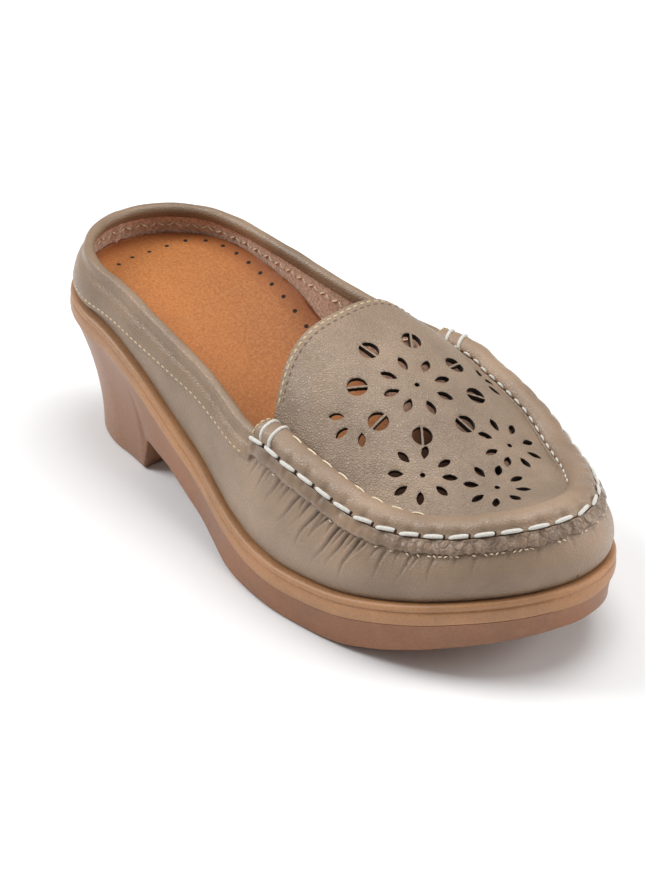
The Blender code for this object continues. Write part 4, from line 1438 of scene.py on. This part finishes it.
def pinholes(dark):
    """Ring of small dark discs round the footbed's heel and arch, painted shade of its air holes."""
    probe = grid_piece("probe", footbed_grid(*FOOTBED_GRID))
    tree = surface_tree(probe)
    bpy.data.objects.remove(probe)
    back = np.exp(-((RING.at / 0.045) ** 2))
    line = RING.inset(WALL + 2.2 * GAP + (2.6 + 8.4 * back) * MM, welt_top)
    sides = [np.flatnonzero((RING.at < 0.5) & (RING.side == side)) for side in (1, -1)]
    line = line[np.concatenate(sides)]
    walked = walk_line(line)
    places = []
    for way in np.arange(3 * MM, walked[-1], PINHOLE_PITCH):
        x, y, _ = along_line(line, walked, way)
        above = Vector((x, y, 1.0)) + Vector(SHIFT)
        spot, normal, _, _ = tree.ray_cast(above, Vector((0, 0, -1)))
        if spot is None:
            continue
        centre = np.array(spot) - SHIFT - np.array(normal) * 0.22 * MM
        places.append((centre, np.cross(normal, (0.0, 1.0, 0.0)), np.array(normal)))
    bpy.ops.mesh.primitive_cylinder_add(vertices=12, radius=PINHOLE_RADIUS, depth=0.5 * MM)
    return copies_at("pinholes", bpy.context.object, places, dark)


def shade(colour, share):
    """The colour, lighter or darker by a share."""
    return tuple(min(1.0, part * share) for part in colour)


class Finish:
    """A material built up in steps: tints over its tone, bumps over its surface."""

    def __init__(self, name, colour, roughness):
        self.material = bpy.data.materials.new(name)
        self.material.use_nodes = True
        self.tree = self.material.node_tree
        self.shader = self.tree.nodes["Principled BSDF"]
        self.tone = colour
        self.normal = None
        self.place = self.node("TexCoord", "Object", {})
        self.look("Roughness", roughness)

    def feed(self, socket, value):
        if isinstance(value, bpy.types.NodeSocket):
            self.tree.links.new(value, socket)
        elif socket.type == "RGBA":
            socket.default_value = (*value, 1.0)
        else:
            socket.default_value = value

    def look(self, name, value):
        self.feed(self.shader.inputs[name], value)

    def node(self, kind, output, inputs, **settings):
        node = self.tree.nodes.new("ShaderNode" + kind)
        for name, value in settings.items():
            setattr(node, name, value)
        for name, value in inputs.items():
            self.feed(node.inputs[name], value)
        return node.outputs[output]

    def noise(self, scale, detail=3.0, rough=0.55):
        inputs = {"Vector": self.place, "Scale": scale, "Detail": detail, "Roughness": rough}
        return self.node("TexNoise", "Fac", inputs)

    def cells(self, scale):
        inputs = {"Vector": self.place, "Scale": scale}
        return self.node("TexVoronoi", "Distance", inputs, feature="SMOOTH_F1")

    def cell_edges(self, scale, push_scale, push):
        """Way to the nearest edge of cells that noise has pushed out of their straight sides."""
        inputs = {"Vector": self.place, "Scale": push_scale, "Detail": 1.0}
        pushing = self.node("TexNoise", "Color", inputs)
        inputs = {0: pushing, 1: (push, push, push), 2: self.place}
        pushed = self.node("VectorMath", "Vector", inputs, operation="MULTIPLY_ADD")
        inputs = {"Vector": pushed, "Scale": scale}
        return self.node("TexVoronoi", "Distance", inputs, feature="DISTANCE_TO_EDGE")

    def forward(self):
        """How far forward along the shoe a point is."""
        return self.node("SeparateXYZ", "X", {0: self.place})

    def painted_shade(self, strength):
        """Painted shade as marked on the mesh, in the gathers, above the welt and round the footbed's
        edge; 0 where nothing is marked.
        """
        marks = self.node("Attribute", "Fac", {}, attribute_name="painted_shade")
        return self.times(marks, strength)

    def remap(self, value, low, high, out_low=0.0, out_high=1.0):
        inputs = {"Value": value, "From Min": low, "From Max": high}
        inputs.update({"To Min": out_low, "To Max": out_high})
        return self.node("MapRange", "Result", inputs)

    def times(self, first, second):
        return self.node("Math", "Value", {0: first, 1: second}, operation="MULTIPLY")

    def plus(self, first, second):
        return self.node("Math", "Value", {0: first, 1: second}, operation="ADD")

    def tint(self, share, colour):
        """Lays a colour over the tone by a share."""
        inputs = {"Factor": share, 6: self.tone, 7: colour}
        self.tone = self.node("Mix", 2, inputs, data_type="RGBA")

    def bump(self, height, distance, strength):
        inputs = {"Height": height, "Distance": distance, "Strength": strength}
        if self.normal:
            inputs["Normal"] = self.normal
        self.normal = self.node("Bump", "Normal", inputs)

    def done(self):
        self.look("Base Color", self.tone)
        if self.normal:
            self.look("Normal", self.normal)
        return self.material


def pebbled_leather(name, colour, grain, roughness, pebble=900.0):
    """Milled leather: rounded pebbles, fine pores, worn tops, darker grain valleys and painted shade
    where the mesh marks it.
    """
    finish = Finish(name, shade(colour, 0.74), roughness)
    pebbles = finish.cell_edges(pebble, 420.0, 0.9 * MM)
    blotch = finish.noise(120.0)
    valley = finish.remap(pebbles, 0.0, 0.32, 1.0, 0.0)
    light = shade(colour, 1.16)
    finish.tint(finish.remap(finish.noise(28.0, 4.0), 0.35, 0.68), light)
    finish.tint(finish.times(valley, 0.26 * grain), shade(colour, 0.45))
    # Painted shade where the mesh marks it: in the gathers and towards the welt.
    finish.tint(finish.painted_shade(0.8), shade(colour, 0.22))
    finish.tint(finish.remap(blotch, 0.45, 0.8, 0.0, 0.25), light)
    matt = finish.plus(finish.remap(valley, 0.0, 1.0, -0.04, 0.12), roughness)
    matt = finish.plus(matt, finish.remap(blotch, 0.3, 0.7, -0.05, 0.05))
    finish.look("Roughness", matt)
    finish.bump(finish.times(valley, -1.0), 0.2 * MM * grain, 0.9)
    finish.bump(finish.noise(2600.0, 2.0), 0.05 * MM, 0.5)
    finish.look("Coat Weight", 0.12)
    finish.look("Coat Roughness", 0.32)
    return finish.done()


def crumpled_leather(name, colour):
    """The gathered rim: smooth at the sides, crushed into sharp wrinkles round the toe, with painted
    shade in the wrinkles.
    """
    finish = Finish(name, shade(colour, 0.72), 0.34)
    crush = finish.cell_edges(330.0, 260.0, 3.0 * MM)
    toe = finish.remap(finish.forward(), 0.066, 0.094, 0.12, 1.0)
    crease = finish.times(finish.remap(crush, 0.0, 0.16, 1.0, 0.0), toe)
    finish.tint(finish.remap(finish.noise(60.0), 0.35, 0.68), shade(colour, 1.2))
    # Painted shade in the crushed wrinkles round the toe.
    finish.tint(finish.times(crease, 0.5), shade(colour, 0.35))
    finish.bump(finish.times(crease, -1.0), 0.22 * MM, 0.9)
    finish.bump(finish.times(finish.noise(420.0, 4.0, 0.6), toe), 0.9 * MM, 0.8)
    finish.bump(finish.noise(1500.0), 0.1 * MM, 0.6)
    finish.look("Coat Weight", 0.25)
    finish.look("Coat Roughness", 0.25)
    return finish.done()


def napped_suede(name, colour):
    """Suede lining with a short mottled nap."""
    finish = Finish(name, shade(colour, 0.5), 0.92)
    nap = finish.noise(900.0, 4.0, 0.7)
    finish.tint(finish.remap(nap, 0.35, 0.65), shade(colour, 1.4))
    finish.tint(finish.remap(finish.noise(160.0), 0.4, 0.7, 0.0, 0.5), shade(colour, 0.8))
    finish.bump(nap, 0.35 * MM, 0.8)
    finish.look("Sheen Weight", 0.35)
    finish.look("Sheen Roughness", 0.5)
    return finish.done()


def footbed_leather(name, colour):
    """Vegetable-tanned footbed: pale flecks, warm blotches, painted shade along its edge and under the
    vamp.
    """
    finish = Finish(name, shade(colour, 0.86), 0.62)
    fleck = finish.noise(950.0, 3.0, 0.65)
    pale = (colour[0] * 1.2, colour[1] * 1.45, colour[2] * 1.6)
    edge = (colour[0] * 0.55, colour[1] * 0.42, colour[2] * 0.4)
    finish.tint(finish.remap(finish.noise(22.0), 0.3, 0.7), shade(colour, 1.14))
    finish.tint(finish.remap(fleck, 0.42, 0.62, 0.0, 0.75), pale)
    finish.tint(finish.remap(finish.cells(1500.0), 0.35, 0.7, 0.0, 0.4), shade(colour, 0.55))
    # Painted shade round the edge, where the footbed meets the walls.
    finish.tint(finish.painted_shade(0.75), edge)
    # Painted shade on the footbed under the vamp, from just behind the tongue's edge forward.
    finish.tint(finish.remap(finish.forward(), -0.006, 0.012), shade(colour, 0.10))
    finish.bump(fleck, 0.12 * MM, 0.7)
    finish.look("Specular IOR Level", 0.35)
    return finish.done()


def moulded_sole(name, colour, glow, heel):
    """Moulded sole: fine leather-like grain, cloudy tone, rubbed places, its own heel tone."""
    finish = Finish(name, shade(colour, 0.84), 0.5)
    grain = finish.cells(1250.0)
    cloud = finish.noise(38.0, 4.0)
    finish.tint(finish.remap(cloud, 0.32, 0.68), shade(colour, 1.15))
    finish.tint(finish.remap(finish.forward(), -0.05, -0.09, 0.0, 0.8), heel)
    finish.tint(finish.remap(finish.noise(260.0), 0.5, 0.75, 0.0, 0.35), glow)
    finish.tint(finish.remap(grain, 0.35, 0.7, 0.0, 0.3), shade(colour, 0.6))
    finish.look("Roughness", finish.remap(cloud, 0.3, 0.7, 0.42, 0.55))
    finish.bump(finish.times(grain, -1.0), 0.10 * MM, 0.8)
    finish.look("Coat Weight", 0.1)
    finish.look("Coat Roughness", 0.4)
    return finish.done()


def waxed_thread(name, colour):
    """Twisted thread with fine ply marks."""
    finish = Finish(name, colour, 0.55)
    ply = finish.noise(1800.0, 2.0)
    finish.tint(finish.remap(ply, 0.35, 0.7, 0.0, 0.5), shade(colour, 0.62))
    finish.bump(ply, 0.15 * MM, 0.7)
    finish.look("Sheen Weight", 0.2)
    return finish.done()


def plain(name, colour, roughness):
    return Finish(name, colour, roughness).done()


def studio_paint():
    finish = Finish("studio_floor", (0.84, 0.84, 0.84), 0.75)
    finish.tint(finish.noise(3.0, 2.0), (0.88, 0.88, 0.88))
    finish.look("Specular IOR Level", 0.2)
    return finish.done()


def floor():
    """Pale studio floor that curves nowhere, wide enough for every view."""
    deselect()
    bpy.ops.mesh.primitive_plane_add(size=12.0, location=(0, 0, 0))
    ground = bpy.context.object
    ground.name = "studio_floor"
    paint(ground, studio_paint())


def area_light(lamp):
    light = bpy.data.lights.new(lamp.name, "AREA")
    light.shape = "RECTANGLE"
    light.size, light.size_y = lamp.size
    light.energy = lamp.power
    light.color = lamp.colour
    panel = bpy.data.objects.new(lamp.name, light)
    bpy.context.scene.collection.objects.link(panel)
    turn = (Vector(lamp.place) - Vector(LAMP_AIM)).to_track_quat("Z", "Y")
    panel.matrix_world = Matrix.Translation(lamp.place) @ turn.to_matrix().to_4x4()


def studio():
    """Soft light from above and both sides, on a pale surround."""
    world = bpy.data.worlds.new("studio")
    world.use_nodes = True
    back = world.node_tree.nodes["Background"]
    back.inputs["Color"].default_value = (1.0, 1.0, 1.0, 1.0)
    back.inputs["Strength"].default_value = SURROUND
    bpy.context.scene.world = world
    for lamp in LAMPS:
        area_light(lamp)
    bpy.context.scene.view_settings.view_transform = "Standard"


def camera():
    """Stands where the photo's camera stood and aims at the one shoe."""
    az, el, roll = (math.radians(v) for v in (CAMERA_AZIMUTH, CAMERA_ELEVATION, CAMERA_ROLL))
    back = np.array([math.sin(az) * math.cos(el), -math.cos(az) * math.cos(el), math.sin(el)])
    right = np.array([math.cos(az), math.sin(az), 0.0])
    up = np.cross(back, right)
    turned_right = right * math.cos(roll) + up * math.sin(roll)
    turned_up = -right * math.sin(roll) + up * math.cos(roll)
    place_ = np.array(CAMERA_CENTRE) - turned_right * CAMERA_OFFSET[0] - turned_up * CAMERA_OFFSET[1]
    place_ = place_ + back * CAMERA_DISTANCE
    aim_back = unit(place_ - np.array(CAMERA_AIM))
    aim_right = unit(turned_right - aim_back * turned_right.dot(aim_back))
    aim_up = np.cross(aim_back, aim_right)
    lens = bpy.data.cameras.new("camera")
    lens.lens = CAMERA_LENS
    lens.clip_end = 30
    eye = bpy.data.objects.new("camera", lens)
    bpy.context.scene.collection.objects.link(eye)
    x, y, z = moved(place_)
    eye.matrix_world = Matrix((
        (aim_right[0], aim_up[0], aim_back[0], x),
        (aim_right[1], aim_up[1], aim_back[1], y),
        (aim_right[2], aim_up[2], aim_back[2], z),
        (0, 0, 0, 1),
    ))
    bpy.context.scene.camera = eye


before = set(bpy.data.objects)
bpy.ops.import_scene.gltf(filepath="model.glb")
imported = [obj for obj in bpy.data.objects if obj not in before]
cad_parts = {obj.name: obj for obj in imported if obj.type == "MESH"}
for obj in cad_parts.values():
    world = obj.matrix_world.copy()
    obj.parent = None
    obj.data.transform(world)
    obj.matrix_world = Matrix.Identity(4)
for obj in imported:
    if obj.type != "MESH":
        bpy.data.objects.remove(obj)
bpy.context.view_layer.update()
WELT_LOW, WELT_HIGH = (np.array(corner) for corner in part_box("welt"))
LEDGE_RING = RING.inset(-WELT_LEDGE, welt_top)
SHIFT = (WELT_LOW + WELT_HIGH) / 2 - (LEDGE_RING.min(axis=0) + LEDGE_RING.max(axis=0)) / 2
SHIFT[2] = 0.0

camera()
studio()
floor()

upper_leather = pebbled_leather("taupe_leather", (0.32, 0.216, 0.142), 0.5, 0.36)
apron_leather = pebbled_leather("taupe_apron_leather", (0.33, 0.232, 0.158), 1.0, 0.38, 1050.0)
cuff_leather = pebbled_leather("taupe_cuff_leather", (0.27, 0.178, 0.112), 0.5, 0.36)
gathered_leather = crumpled_leather("gathered_leather", (0.26, 0.172, 0.112))
suede = napped_suede("brown_suede", (0.60, 0.37, 0.25))
tan = footbed_leather("tan_footbed", (0.40, 0.135, 0.036))
foam = moulded_sole("brown_sole", (0.27, 0.112, 0.050), (0.35, 0.17, 0.09), (0.34, 0.19, 0.12))
amber = moulded_sole("amber_welt", (0.40, 0.195, 0.085), (0.48, 0.26, 0.125), (0.36, 0.19, 0.10))
white = waxed_thread("white_thread", (0.66, 0.64, 0.58))
gold = waxed_thread("gold_thread", (0.62, 0.47, 0.26))
cream = waxed_thread("cream_thread", (0.80, 0.66, 0.46))
brown = waxed_thread("brown_thread", (0.16, 0.10, 0.06))
# Near-black colour: painted shade in the pinholes and needle holes.
hole = plain("painted_hole_shade", (0.02, 0.01, 0.006), 0.9)
# Near-black colour on the walls of the punched holes: painted shade.
hole_wall_shade = plain("painted_hole_wall_shade", (0.022, 0.015, 0.011), 0.7)

sole_unit(foam)
welt(amber)
footbed(tan)
vamp_and_quarters(upper_leather)
quarter_lining(suede)
apron(apron_leather, suede, hole_wall_shade)
band(upper_leather)
apron_roll(upper_leather)
rim_strip(gathered_leather)
collar_cuff(cuff_leather)
hand_stitches(white)
needle_holes(hole)
inner_stitches(white, cream)
roll_wraps(white)
roll_end_stitches(gold)
cuff_stitches(gold)
tongue_stitches(gold, brown)
lining_stitches(cream)
strip_stitches(cream)
seam_stitches(gold)
pinholes(hole)
